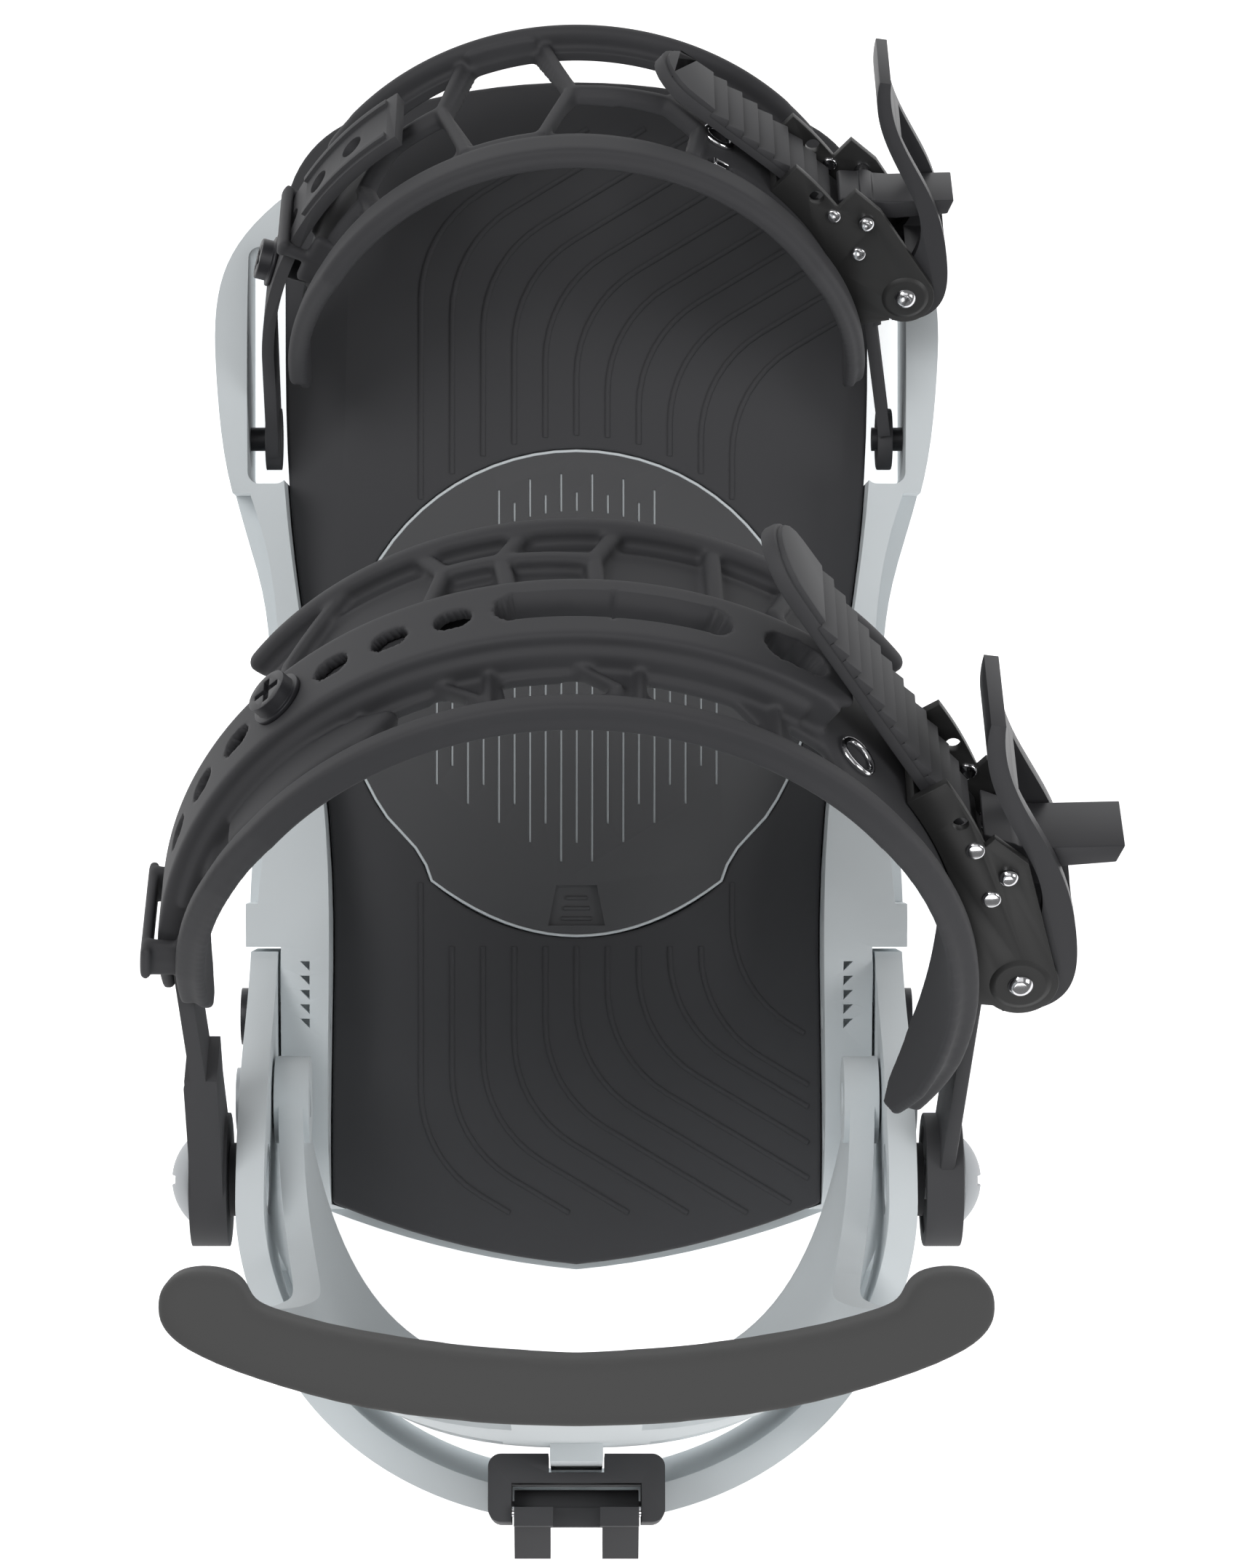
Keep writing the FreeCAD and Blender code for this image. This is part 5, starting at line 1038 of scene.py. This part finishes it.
@dataclass
class AnkleStrap:
    """The ankle strap: an upper web of struts, a holed spine, a hollow and a padded lower rim."""

    plan: Plan
    half_wide: float = 30.0
    skin: float = 3.0
    spine_low: float = -5.0
    spine_high: float = 13.0
    spine_top: float = 9.5
    screw_angle: float = 133.5
    hole_pitch: float = 9.0
    voxel: float = 0.6

    def outline(self) -> list[tuple[float, float]]:
        """The strap's plan outline: full width at the crown, narrow at both ends."""
        front = [(189, 7), (186, 2), (178, -3), (168, -7), (158, -13), (148, -22), (140, -30), (42, -30),
                 (32, -26), (20, -19), (6, -13), (-8, -9), (-22, -3), (-30, 4)]
        rear = [(-32, 9), (-30, 14), (-22, 19), (-10, 22), (6, 25), (24, 28), (38, 30), (142, 30), (156, 27),
                (168, 23), (178, 19), (186, 15), (189, 11)]
        return front + rear

    def windows(self) -> list[list[tuple[float, float]]]:
        """The openings through the web above the spine and through the hollow below it."""
        return [
            [(135, -12), (122, -11.5), (116, -10.5), (114.5, -7.2), (124, -7.4), (133, -9)],
            [(111, -13.5), (108.5, -15.5), (102.5, -15.5), (100.5, -12.5), (101, -7.2), (110.5, -7.2)],
            [(97, -13.5), (88.5, -12.5), (90.5, -7.2), (97, -7.2)],
            [(85.5, -11.5), (71, -11.5), (72, -7.2), (84, -7.2)],
            [(121, 16), (110, 15.5), (104, 20.5), (112, 22.5), (120, 21.5)],
            [(101, 15.8), (88, 15.5), (82, 19), (91, 22.5), (100, 22)],
            [(80, 15.5), (66, 15.5), (62, 20.5), (72, 22.5), (79.5, 20.5)],
            [(58, 16), (48, 16), (42, 20), (47, 22.5), (56, 22)],
        ]

    def build(self) -> None:
        """Make the body, then its ring and keeper."""
        plan = self.plan
        skin = self.skin
        sheet = plan.slab(self.outline(), 0.0, skin - 0.9, 0.5)
        sheet = plan.cut(sheet, [plan.slab(window, -3.0, 12.0) for window in self.windows()])
        parts = [sheet]
        parts.append(plan.band(34, 146, -self.half_wide, -25.8, 0.0, skin + 2.9, 1.6))
        parts.append(plan.band(30, 154, -22.6, self.spine_low - 16.4, 0.0, skin - 0.2, 0.4))
        parts += self._struts()
        lower = [(186, 11.5), (176, 15.5), (166, 19), (154, 23.5), (142, 25.2), (38, 25.2), (24, 23.4),
                 (8, 19.5), (-12, 15.5), (-28, 11.5), (-29, 13), (-14, 19.5), (6, 24), (24, 27.4), (38, 29.6),
                 (142, 29.6), (156, 26.4), (168, 22.3), (178, 18.4), (186, 14)]
        parts.append(plan.slab(lower, 0.2, skin + 2.7, 1.5))
        parts += self._spine()
        tail = [(51, -18), (30, -17), (6, -9.5), (-20, -0.5), (-27, 7), (-27, 12), (-10, 17), (22, 23),
                (46, 25), (54, 12), (54, -5)]
        parts.append(plan.slab(tail, 0.2, skin - 0.1, 0.8))
        hump = [(150, 14.5), (136, 14.0), (122, 15.5), (116, 18), (120, 23), (140, 25), (150, 22)]
        parts.append(plan.slab(hump, 0.2, skin + 1.6, 1.4))
        cutters = [plan.hole(angle, self.middle, 6.6, 5.4) for angle in self._holes()]
        cutters.append(plan.hole(self.screw_angle, self.middle, 6.2, 6.2))
        cutters.append(plan.hole(85.0, self.middle - 0.5, 39.5, 8.0))
        cutters.append(plan.hole(59.5, self.middle, 12.0, 7.6))
        body = plan.mould(parts, self.voxel, 3, cutters)
        install(join([body, self._keeper()]), "ankle_strap_shell", ["ankle_strap_body"])
        self._ring()

    @property
    def middle(self) -> float:
        """The spine's middle line."""
        return (self.spine_low + self.spine_high) / 2

    def _holes(self) -> list[float]:
        """The angles of the spine's adjusting holes."""
        angles = [self.screw_angle + step * self.hole_pitch for step in range(-3, 6) if step]
        return [angle for angle in angles if angle < 168.0]

    def _spine(self) -> list[bpy.types.Object]:
        """The spine: a crowned top, side walls and a tunnel under its extender end."""
        plan, low, high = self.plan, self.spine_low, self.spine_high
        outline = [(186, low + 5), (176, low + 1), (168, low), (54, low), (50, low + 4), (50, high - 4),
                   (54, high), (170, high), (180, high - 1), (186, high - 4)]
        crown = plan.slab(outline, 7.0, self.spine_top, 0.9)
        walls = [plan.band(54, 176, low, low + 1.9, 0.4, 8.2), plan.band(54, 176, high - 1.9, high, 0.4, 8.2)]
        block = plan.band(52, 103, low, high, 0.4, 8.6)
        bevel = plan.band(56, 168, high - 2.4, high + 1.3, 0.4, 6.4, 1.1)
        return [crown, block, bevel] + walls

    def _struts(self) -> list[bpy.types.Object]:
        """The faceted ribs between the front rim and the spine, and the fine ribs below it."""
        plan = self.plan
        lines = [
            [(113.5, -27.5), (109.5, -19.5), (113.0, -5)], [(97.5, -27.5), (101.0, -19.5), (99.0, -5)],
            [(109.5, -19.5), (101.0, -19.5)], [(84.0, -27.5), (87.5, -18), (86.8, -5)],
            [(70.0, -27), (69.5, -5)], [(126, -27.5), (137, -16), (139, -5)],
            [(56, -27), (60, -14), (57, -5)],
            [(87.5, -18), (101, -19.5)],
        ]
        bars: list[bpy.types.Object] = []
        for line in lines:
            bars += plan.chain(line, 3.2, 0.3, self.skin + 1.9, 1.1)
        for first, last in (((122.5, 13), (122.5, 26)), ((102.5, 13), (102.5, 26)), ((81, 13), (81, 26)),
                            ((60.5, 13), (60, 26)), ((110, 14), (104, 21)), ((90, 14), (84, 20)),
                            ((136, 12), (150, 19)), ((150, 12), (163, 17))):
            bars.append(plan.bar(first, last, 1.7, 0.3, self.skin + 0.7, 0.7))
        return bars

    def _keeper(self) -> bpy.types.Object:
        """The square loop at the strap's end that the extender leaves through."""
        plan, low, high = self.plan, self.spine_low, self.spine_high
        parts = [plan.bar((176.5, low - 1.9), (176.5, high + 1.4), 6.5, 10.4, 12.5, 1.0)]
        for across in (low - 2.2, high + 1.7):
            parts.append(plan.bar((176.5, across), (176.5, across + 0.05), 2.6, 2.4, 11.6, 0.9))
            parts.append(plan.bar((173, across), (180, across), 2.4, 2.4, 5.8, 0.9))
            parts.append(plan.bar((174.6, across), (178.4, across), 2.4, 3.0, 12.0, 0.9))
        return plan.mould(parts, 0.45, 4)

    def _ring(self) -> None:
        """The bright ring set in the strap beside the buckle."""
        only_none()
        bpy.ops.mesh.primitive_torus_add(major_radius=3.6 * MM, minor_radius=0.7 * MM, major_segments=36,
                                         minor_segments=10)
        ring = bpy.context.object
        u, v = self.plan.at(45.5, 14.0)
        ring.location = (u, v, (self.skin + 0.4) * MM)
        settle(ring)
        self.plan.arch.wrap(ring)
        only(ring)
        bpy.ops.object.shade_smooth()
        install(ring, "ankle_strap_ring", [], "steel_bright", "ankle_strap")


# ---------------------------------------------------------------- disc cover
@dataclass
class DiscCover:
    """The lid over the mounting disc: a round head, a heel lobe, rows of slits and a finger recess."""

    head_radius: float = 49.0 * MM
    head_y: float = -5.5 * MM
    shoulder_y: float = -34.0 * MM
    lobe_half: float = 30.5 * MM
    lobe_y: float = -47.5 * MM
    end_y: float = -59.0 * MM
    slit_pitch: float = 3.3 * MM
    slit_wide: float = 0.5 * MM
    slits: int = 19
    rim_radius: float = 0.32 * MM
    recess_deep: float = 1.1 * MM
    recess_corners: tuple[tuple[float, float], ...] = (
        (-6.0, -57.0), (6.0, -57.0), (4.3, -48.5), (-4.3, -48.5))
    slit_deep: float = 1.0 * MM
    grip_rows: int = 3
    grip_radius: float = 0.45 * MM

    def build(self) -> None:
        """Make the lid, the pale floors of its slits and the pale line of its gap."""
        low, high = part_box("disc_cover")
        self.top = high[2]
        self.low = low[2]
        lid = raise_outline(self.outline(-0.1 * MM), self.low, self.top)
        slots, strips = self._slots()
        bottom = self.top - self.recess_deep
        recess = raise_outline([(x * MM, y * MM) for x, y in self.recess_corners], bottom, self.top + 2 * MM)
        Plan.cut(lid, [join(slots), recess])
        add_modifier(lid, "BEVEL", width=0.22 * MM, segments=2, limit_method="ANGLE",
                     angle_limit=math.radians(50))
        smooth_by_angle(lid, 40)
        grip = []
        for row in range(self.grip_rows):
            place = (0.0, (-55.6 + 2.2 * row) * MM, bottom)
            grip.append(cross_rod(self.grip_radius, (6.4 - row) * MM, place, 10))
        install(join([lid] + grip), "disc_cover_lid", ["disc_cover"])
        floors = join(strips)
        smooth_by_angle(floors, 40)
        install(floors, "disc_cover_slit_floors", [], "nylon_grey", "disc_cover")
        self._gap_line()

    def outline(self, grow: float) -> list[tuple[float, float]]:
        """The lid's outline.

        Args:
            grow: How far it is grown.

        Returns:
            Its corners in order.
        """
        radius = self.head_radius + grow
        fall = math.asin((self.shoulder_y - self.head_y) / radius)
        head = []
        steps = 48
        for step in range(steps + 1):
            angle = fall + (math.pi - 2 * fall) * step / steps
            head.append((radius * math.cos(angle), self.head_y + radius * math.sin(angle)))
        lobe = self.lobe_half + grow
        neck_left = [(-lobe - 3.4 * MM, self.shoulder_y - 6.5 * MM),
                     (-lobe - 1.2 * MM, self.lobe_y + 3.4 * MM), (-lobe, self.lobe_y)]
        foot = []
        sag = self.lobe_y - (self.end_y - grow)
        for step in range(1, 20):
            share = -1 + 2 * step / 20
            foot.append((lobe * share, self.lobe_y - sag * (1 - share ** 2)))
        neck_right = [(-x, y) for x, y in reversed(neck_left)]
        return head + neck_left + foot + neck_right

    def _slots(self) -> tuple[list[bpy.types.Object], list[bpy.types.Object]]:
        """The slit cutters and the pale strips at their bottoms.

        Returns:
            The cutters and the strips.
        """
        cutters, strips = [], []
        for index in range(self.slits):
            place = index - (self.slits - 1) / 2
            x = place * self.slit_pitch
            odd = index % 2
            reach = math.sqrt(max(0.0, (40 * MM) ** 2 - x * x))
            runs = [(reach - (5 if odd else 1) * MM, reach - 9 * MM)] if abs(place) < 6 else []
            runs.append((24 * MM - abs(x) * 0.25, (-45.5 + (6 if odd else 0)) * MM + abs(x) * 0.62))
            for first, last in runs:
                if first - last < 2 * MM:
                    continue
                opening = (self.slit_deep, self.slit_wide, 2.0 * MM, cutters)
                floor = (self.slit_deep + 0.06 * MM, self.slit_wide * 0.9, 0.5 * MM, strips)
                for deep, wide, height, keep in (opening, floor):
                    only_none()
                    bpy.ops.mesh.primitive_cube_add(size=1.0)
                    bar = bpy.context.object
                    bar.scale = (wide, first - last, height)
                    bar.location = (x, (first + last) / 2, self.top - deep + height / 2)
                    settle(bar)
                    keep.append(bar)
        return cutters, strips

    def _gap_line(self) -> None:
        """The pale bead in the gap round the lid."""
        places = [(x, y, self.top - 0.15 * MM) for x, y in self.outline(0.22 * MM)]
        bead = draw_bead("gap_line", places, self.rim_radius, closed=True)
        install(bead, "disc_cover_gap_line", [], "nylon_grey", "chassis")


# ---------------------------------------------------------------- ladders
@dataclass(frozen=True)
class BandRun(Arch):
    """An arch that runs straight on past two angles, as a ladder does.

    Args:
        foot: The angle in degrees where the leg starts.
        leave: The angle where the free end starts.
    """

    foot: float = 0.0
    leave: float = 45.0

    def onto(self, point: Vector) -> Vector:
        """Carry a plan point onto the run, straight past its two angles."""
        low, high = self.along(self.foot), self.along(self.leave)
        held = min(max(point.x, low), high)
        turn = math.pi / 2 + held / self.radius
        outward = Vector((math.cos(turn), math.sin(turn), 0.0))
        ahead = Vector((-math.sin(turn), math.cos(turn), 0.0))
        middle = Vector((0.0, self.centre, point.y))
        return self.frame() @ (middle + outward * (self.radius + point.z) + ahead * (point.x - held))


@dataclass
class Ladder:
    """A toothed ladder: an eye at its foot, a leg, the arc through the buckle and a smooth free end.

    All its sizes are in millimetres.
    """

    name: str
    node: str
    run: BandRun
    half: float
    thick: float
    tooth: float
    pitch: float
    tail: float
    smooth_end: float
    leg: float
    eye_reach: tuple[float, float]
    eye_radius: float
    foot_half: float
    teeth_from: float
    bore_radius: float
    root: float = 0.8
    heel: float = 0.12
    lean: float = 0.5
    eye_rim: float = 0.2
    eye_sunk: float = 0.7

    def build(self) -> None:
        """Make the band, its teeth and its eye as one moulding."""
        plan = Plan(self.run)
        body = join([self._band(plan), *self._teeth(), self._thumb_pad(plan)])
        self.run.wrap(body)
        smooth_by_angle(body, 32.0)
        eye = self._eye()
        install(join([body, eye]), self.name, [self.node])

    def _tip(self) -> float:
        """Where the free end stops, along the plan in metres."""
        return self.run.along(self.run.leave) + self.tail * MM

    def _foot(self) -> float:
        """Where the leg ends, along the plan in metres."""
        return self.run.along(self.run.foot) - self.leg * MM

    def _round_end(self, reach: float, steps: int, squash: float) -> list[tuple[float, float]]:
        """The half circle that ends the band, from one edge round to the other.

        Args:
            reach: Its radius.
            steps: How many sides it has.
            squash: How much narrower it is across the band.

        Returns:
            Its corners.
        """
        turns = [-math.pi / 2 + math.pi * step / steps for step in range(steps + 1)]
        middle = self._tip() - self.half * MM
        return [(middle + reach * math.cos(turn), reach * math.sin(turn) * squash) for turn in turns]

    @staticmethod
    def _plate(plan: Plan, outline: Sequence[tuple[float, float]], low: float,
               high: float) -> bpy.types.Object:
        """A plate of the plan with an outline given in metres and faces in millimetres."""
        piece = plan.slab([(90.0, 0.0)] * len(outline), low, high)
        count = len(outline)
        for index, vertex in enumerate(piece.data.vertices):
            vertex.co.x, vertex.co.y = outline[index % count]
        return piece

    def _band(self, plan: Plan) -> bpy.types.Object:
        """The plain band with a round free end, divided so that it bends."""
        foot, half, foot_half = self._foot(), self.half * MM, self.foot_half * MM
        taper = self.run.along(self.run.foot) + 2 * MM
        edge = [(taper, half), (foot + 4 * MM, foot_half), (foot, foot_half)]
        outline = self._round_end(half, 12, 0.96) + edge + [(x, -y) for x, y in reversed(edge)]
        piece = self._plate(plan, outline, 0.0, self.thick)
        add_modifier(piece, "BEVEL", width=0.55 * MM, segments=2, limit_method="ANGLE",
                     angle_limit=math.radians(50))
        only(piece)
        bpy.ops.object.mode_set(mode="EDIT")
        place = foot + 1.5 * MM
        while place < self.run.along(self.run.leave) + 2 * MM:
            bpy.ops.mesh.select_all(action="SELECT")
            bpy.ops.mesh.bisect(plane_co=(place, 0, 0), plane_no=(1, 0, 0))
            place += 3.0 * MM
        bpy.ops.object.mode_set(mode="OBJECT")
        return piece

    def _teeth(self) -> list[bpy.types.Object]:
        """The ratchet teeth: wedges across the band, each with its own steep face."""
        teeth = []
        place = self._tip() - self.smooth_end * MM
        last = self.run.along(self.teeth_from)
        half = self.half * MM - 0.1 * MM
        while place > last:
            only_none()
            bpy.ops.mesh.primitive_cube_add(size=1.0)
            wedge = bpy.context.object
            for vertex in wedge.data.vertices:
                far = vertex.co.x > 0
                top = vertex.co.z > 0
                vertex.co.x = place if far else place - self.pitch * MM
                vertex.co.y = half if vertex.co.y > 0 else -half
                rise = -self.root if not top else self.heel if far else self.tooth
                vertex.co.z = (self.thick + rise) * MM
                if top and not far:
                    vertex.co.x += self.lean * MM
            add_modifier(wedge, "BEVEL", width=0.18 * MM, segments=2)
            teeth.append(wedge)
            place -= self.pitch * MM
        return teeth

    def _thumb_pad(self, plan: Plan) -> bpy.types.Object:
        """The raised thumb pad on the free end."""
        start = self._tip() - self.smooth_end * MM
        half = self.half * MM
        outline = self._round_end(half - 1.0 * MM, 10, 1.0)
        outline += [(start, half - 0.6 * MM), (start, -half + 0.6 * MM)]
        piece = self._plate(plan, outline, self.thick - 0.6, self.thick + self.tooth * 0.9)
        add_modifier(piece, "BEVEL", width=0.5 * MM, segments=2, limit_method="ANGLE",
                     angle_limit=math.radians(50))
        return piece

    def _eye(self) -> bpy.types.Object:
        """The round eye that the pivot passes through, its faces sunk inside a rim."""
        near, far = (reach * MM for reach in self.eye_reach)
        middle = ((near + far) / 2, 0.0, 0.0)
        eye = cross_rod(self.eye_radius * MM, abs(far - near), middle, 48)
        bpy.ops.object.mode_set(mode="EDIT")
        bpy.ops.mesh.select_mode(type="FACE")
        bpy.ops.mesh.select_all(action="DESELECT")
        bpy.ops.object.mode_set(mode="OBJECT")
        for face in eye.data.polygons:
            face.select = abs(face.normal.x) > 0.9
        bpy.ops.object.mode_set(mode="EDIT")
        bpy.ops.mesh.inset(thickness=self.eye_radius * self.eye_rim * MM)
        bpy.ops.mesh.extrude_region_shrink_fatten(TRANSFORM_OT_shrink_fatten={"value": -self.eye_sunk * MM})
        bpy.ops.object.mode_set(mode="OBJECT")
        add_modifier(eye, "BEVEL", width=0.45 * MM, segments=2, limit_method="ANGLE",
                     angle_limit=math.radians(40))
        Plan.cut(eye, [cross_rod(self.bore_radius * MM, 40 * MM, middle, 32)])
        eye.data.transform(self.run.frame())
        smooth_by_angle(eye, 35.0)
        return eye


def run_on(arch: Arch, radius: float, foot: float, leave: float) -> BandRun:
    """A ladder's run on a strap's arch."""
    return BandRun(arch.place_y, arch.place_z, arch.tilt, arch.centre, radius, foot, leave)


ANKLE_LADDER = Ladder(
    "ankle_ladder_moulding", "ankle_ladder", run_on(ANKLE_ARCH, 76.3 * MM, -4.0, 31.0),
    half=9.5, thick=3.0, tooth=1.25, pitch=4.5, tail=62.0, smooth_end=17.0, leg=58.0,
    eye_reach=(70.0, 77.5), eye_radius=13.5, foot_half=8.5, teeth_from=-2.0, bore_radius=4.1)
TOE_LADDER = Ladder(
    "toe_ladder_moulding", "toe_ladder", run_on(TOE_ARCH, 60.0 * MM, 8.0, 50.0),
    half=8.0, thick=2.5, tooth=1.05, pitch=4.1, tail=30.0, smooth_end=13.0, leg=29.0,
    eye_reach=(63.4, 66.6), eye_radius=6.5, foot_half=6.0, teeth_from=10.0, bore_radius=2.7)


# ---------------------------------------------------------------- buckle trim
@dataclass
class BuckleTrim:
    """The bright domed heads on a buckle's pins and the raised plate round its lever pin.

    Places are the reach from the arch's centre and the angle round it; sizes are in millimetres.
    """

    name: str
    arch: Arch
    strap: str
    lever_pin: tuple[float, float]
    release_pin: tuple[float, float]
    half: float
    head: float
    plate: float
    plate_high: float = 0.5
    proud: float = 0.5

    def build(self) -> None:
        """Make the heads as one piece and the plates as another."""
        heads, plates = [], []
        for side in (-1.0, 1.0):
            for place, size in ((self.lever_pin, self.head), (self.release_pin, self.head * 0.78)):
                heads.append(self._disc(place, side, size, self.half + self.proud, 1.0, 0.62))
            plates.append(self._disc(self.lever_pin, side, self.plate, self.half - 0.1,
                                     self.plate_high + 0.1, 0.8))
        install(join(heads), self.name + "_pin_heads", [], "steel_bright", self.strap)
        install(join(plates), self.name + "_hub_plates", [], "buckle_black", self.strap)

    def _disc(self, place: tuple[float, float], side: float, radius: float, foot: float, high: float,
              crown: float) -> bpy.types.Object:
        """A low round head with a crowned top, standing on a cheek.

        Args:
            place: Its reach and angle on the arch.
            side: Which cheek it stands on, 1 or -1.
            radius: Its radius.
            foot: Where it starts, across the strap.
            high: Its height.
            crown: The radius of its flat top, as a share of its own.

        Returns:
            The head.
        """
        reach, angle = place
        turn = math.radians(angle)
        x = reach * MM * math.cos(turn)
        y = self.arch.centre + reach * MM * math.sin(turn)
        only_none()
        bpy.ops.mesh.primitive_cylinder_add(vertices=32, radius=radius * MM, depth=high * MM,
                                            location=(x, y, side * (foot + high / 2) * MM))
        piece = bpy.context.object
        settle(piece)
        outer = side * (foot + high / 2) * MM
        for vertex in piece.data.vertices:
            if (vertex.co.z - outer) * side > 0:
                vertex.co.x = x + (vertex.co.x - x) * crown
                vertex.co.y = y + (vertex.co.y - y) * crown
        add_modifier(piece, "BEVEL", width=high * 0.45 * MM, segments=3, limit_method="ANGLE",
                     angle_limit=math.radians(20))
        piece.data.transform(self.arch.frame())
        smooth_by_angle(piece, 50)
        return piece


ANKLE_TRIM = BuckleTrim("ankle_buckle", ANKLE_ARCH, "ankle_strap", lever_pin=(85.5, -2.3),
                        release_pin=(85.0, 16.0), half=13.0, head=2.7, plate=6.2)
TOE_TRIM = BuckleTrim("toe_buckle", TOE_ARCH, "toe_strap", lever_pin=(69.5, 14.5),
                      release_pin=(68.5, 31.0), half=11.0, head=2.4, plate=5.0)


# ---------------------------------------------------------------- moulded and metal parts
@dataclass
class SoftenedParts:
    """CAD parts whose shape is right and whose edges are rounded over for the look."""

    round_overs: tuple[tuple[str, float, int], ...] = (
        ("baseplate", 1.3 * MM, 3), ("heelcup", 1.4 * MM, 3), ("highback", 1.3 * MM, 3),
        ("ankle_extender", 0.5 * MM, 2),
        ("ankle_buckle_frame", 0.3 * MM, 2), ("ankle_buckle_lever", 0.7 * MM, 3),
        ("ankle_release_lever", 0.6 * MM, 3),
        ("toe_extender", 0.4 * MM, 2), ("toe_buckle_frame", 0.3 * MM, 2),
        ("toe_buckle_lever", 0.6 * MM, 3), ("toe_release_lever", 0.5 * MM, 3),
        ("lean_block", 0.6 * MM, 2), ("lean_lever", 0.5 * MM, 2), ("ankle_bolts", 0.3 * MM, 2),
        ("ankle_strap_screw", 0.3 * MM, 2), ("toe_strap_screw", 0.3 * MM, 2),
        ("ankle_buckle_rivets", 0.5 * MM, 3), ("toe_buckle_rivets", 0.4 * MM, 3),
        ("heelcup_bolts", 0.4 * MM, 2), ("base_pad_front", 0.8 * MM, 2), ("base_pad_rear", 0.8 * MM, 2),
    )

    def build(self) -> None:
        """Soften each part."""
        for node, width, segments in self.round_overs:
            install(soften(node, width, segments), node + "_finished", [node])


def dress_kept_nodes() -> None:
    """Give every CAD node that still shows its finish."""
    for node, thing in frame["nodes"].items():
        dress(thing, SLOT_OF[node])


def main() -> None:
    """Build the binding and its studio."""
    dress_kept_nodes()
    Studio().build()
    Footbed().build()
    TopPad().build()
    DiscCover().build()
    ToeStrap(Plan(TOE_ARCH)).build()
    AnkleStrap(Plan(ANKLE_ARCH)).build()
    ANKLE_LADDER.build()
    TOE_LADDER.build()
    ANKLE_TRIM.build()
    TOE_TRIM.build()
    SoftenedParts().build()


if __name__ == "__main__":
    main()
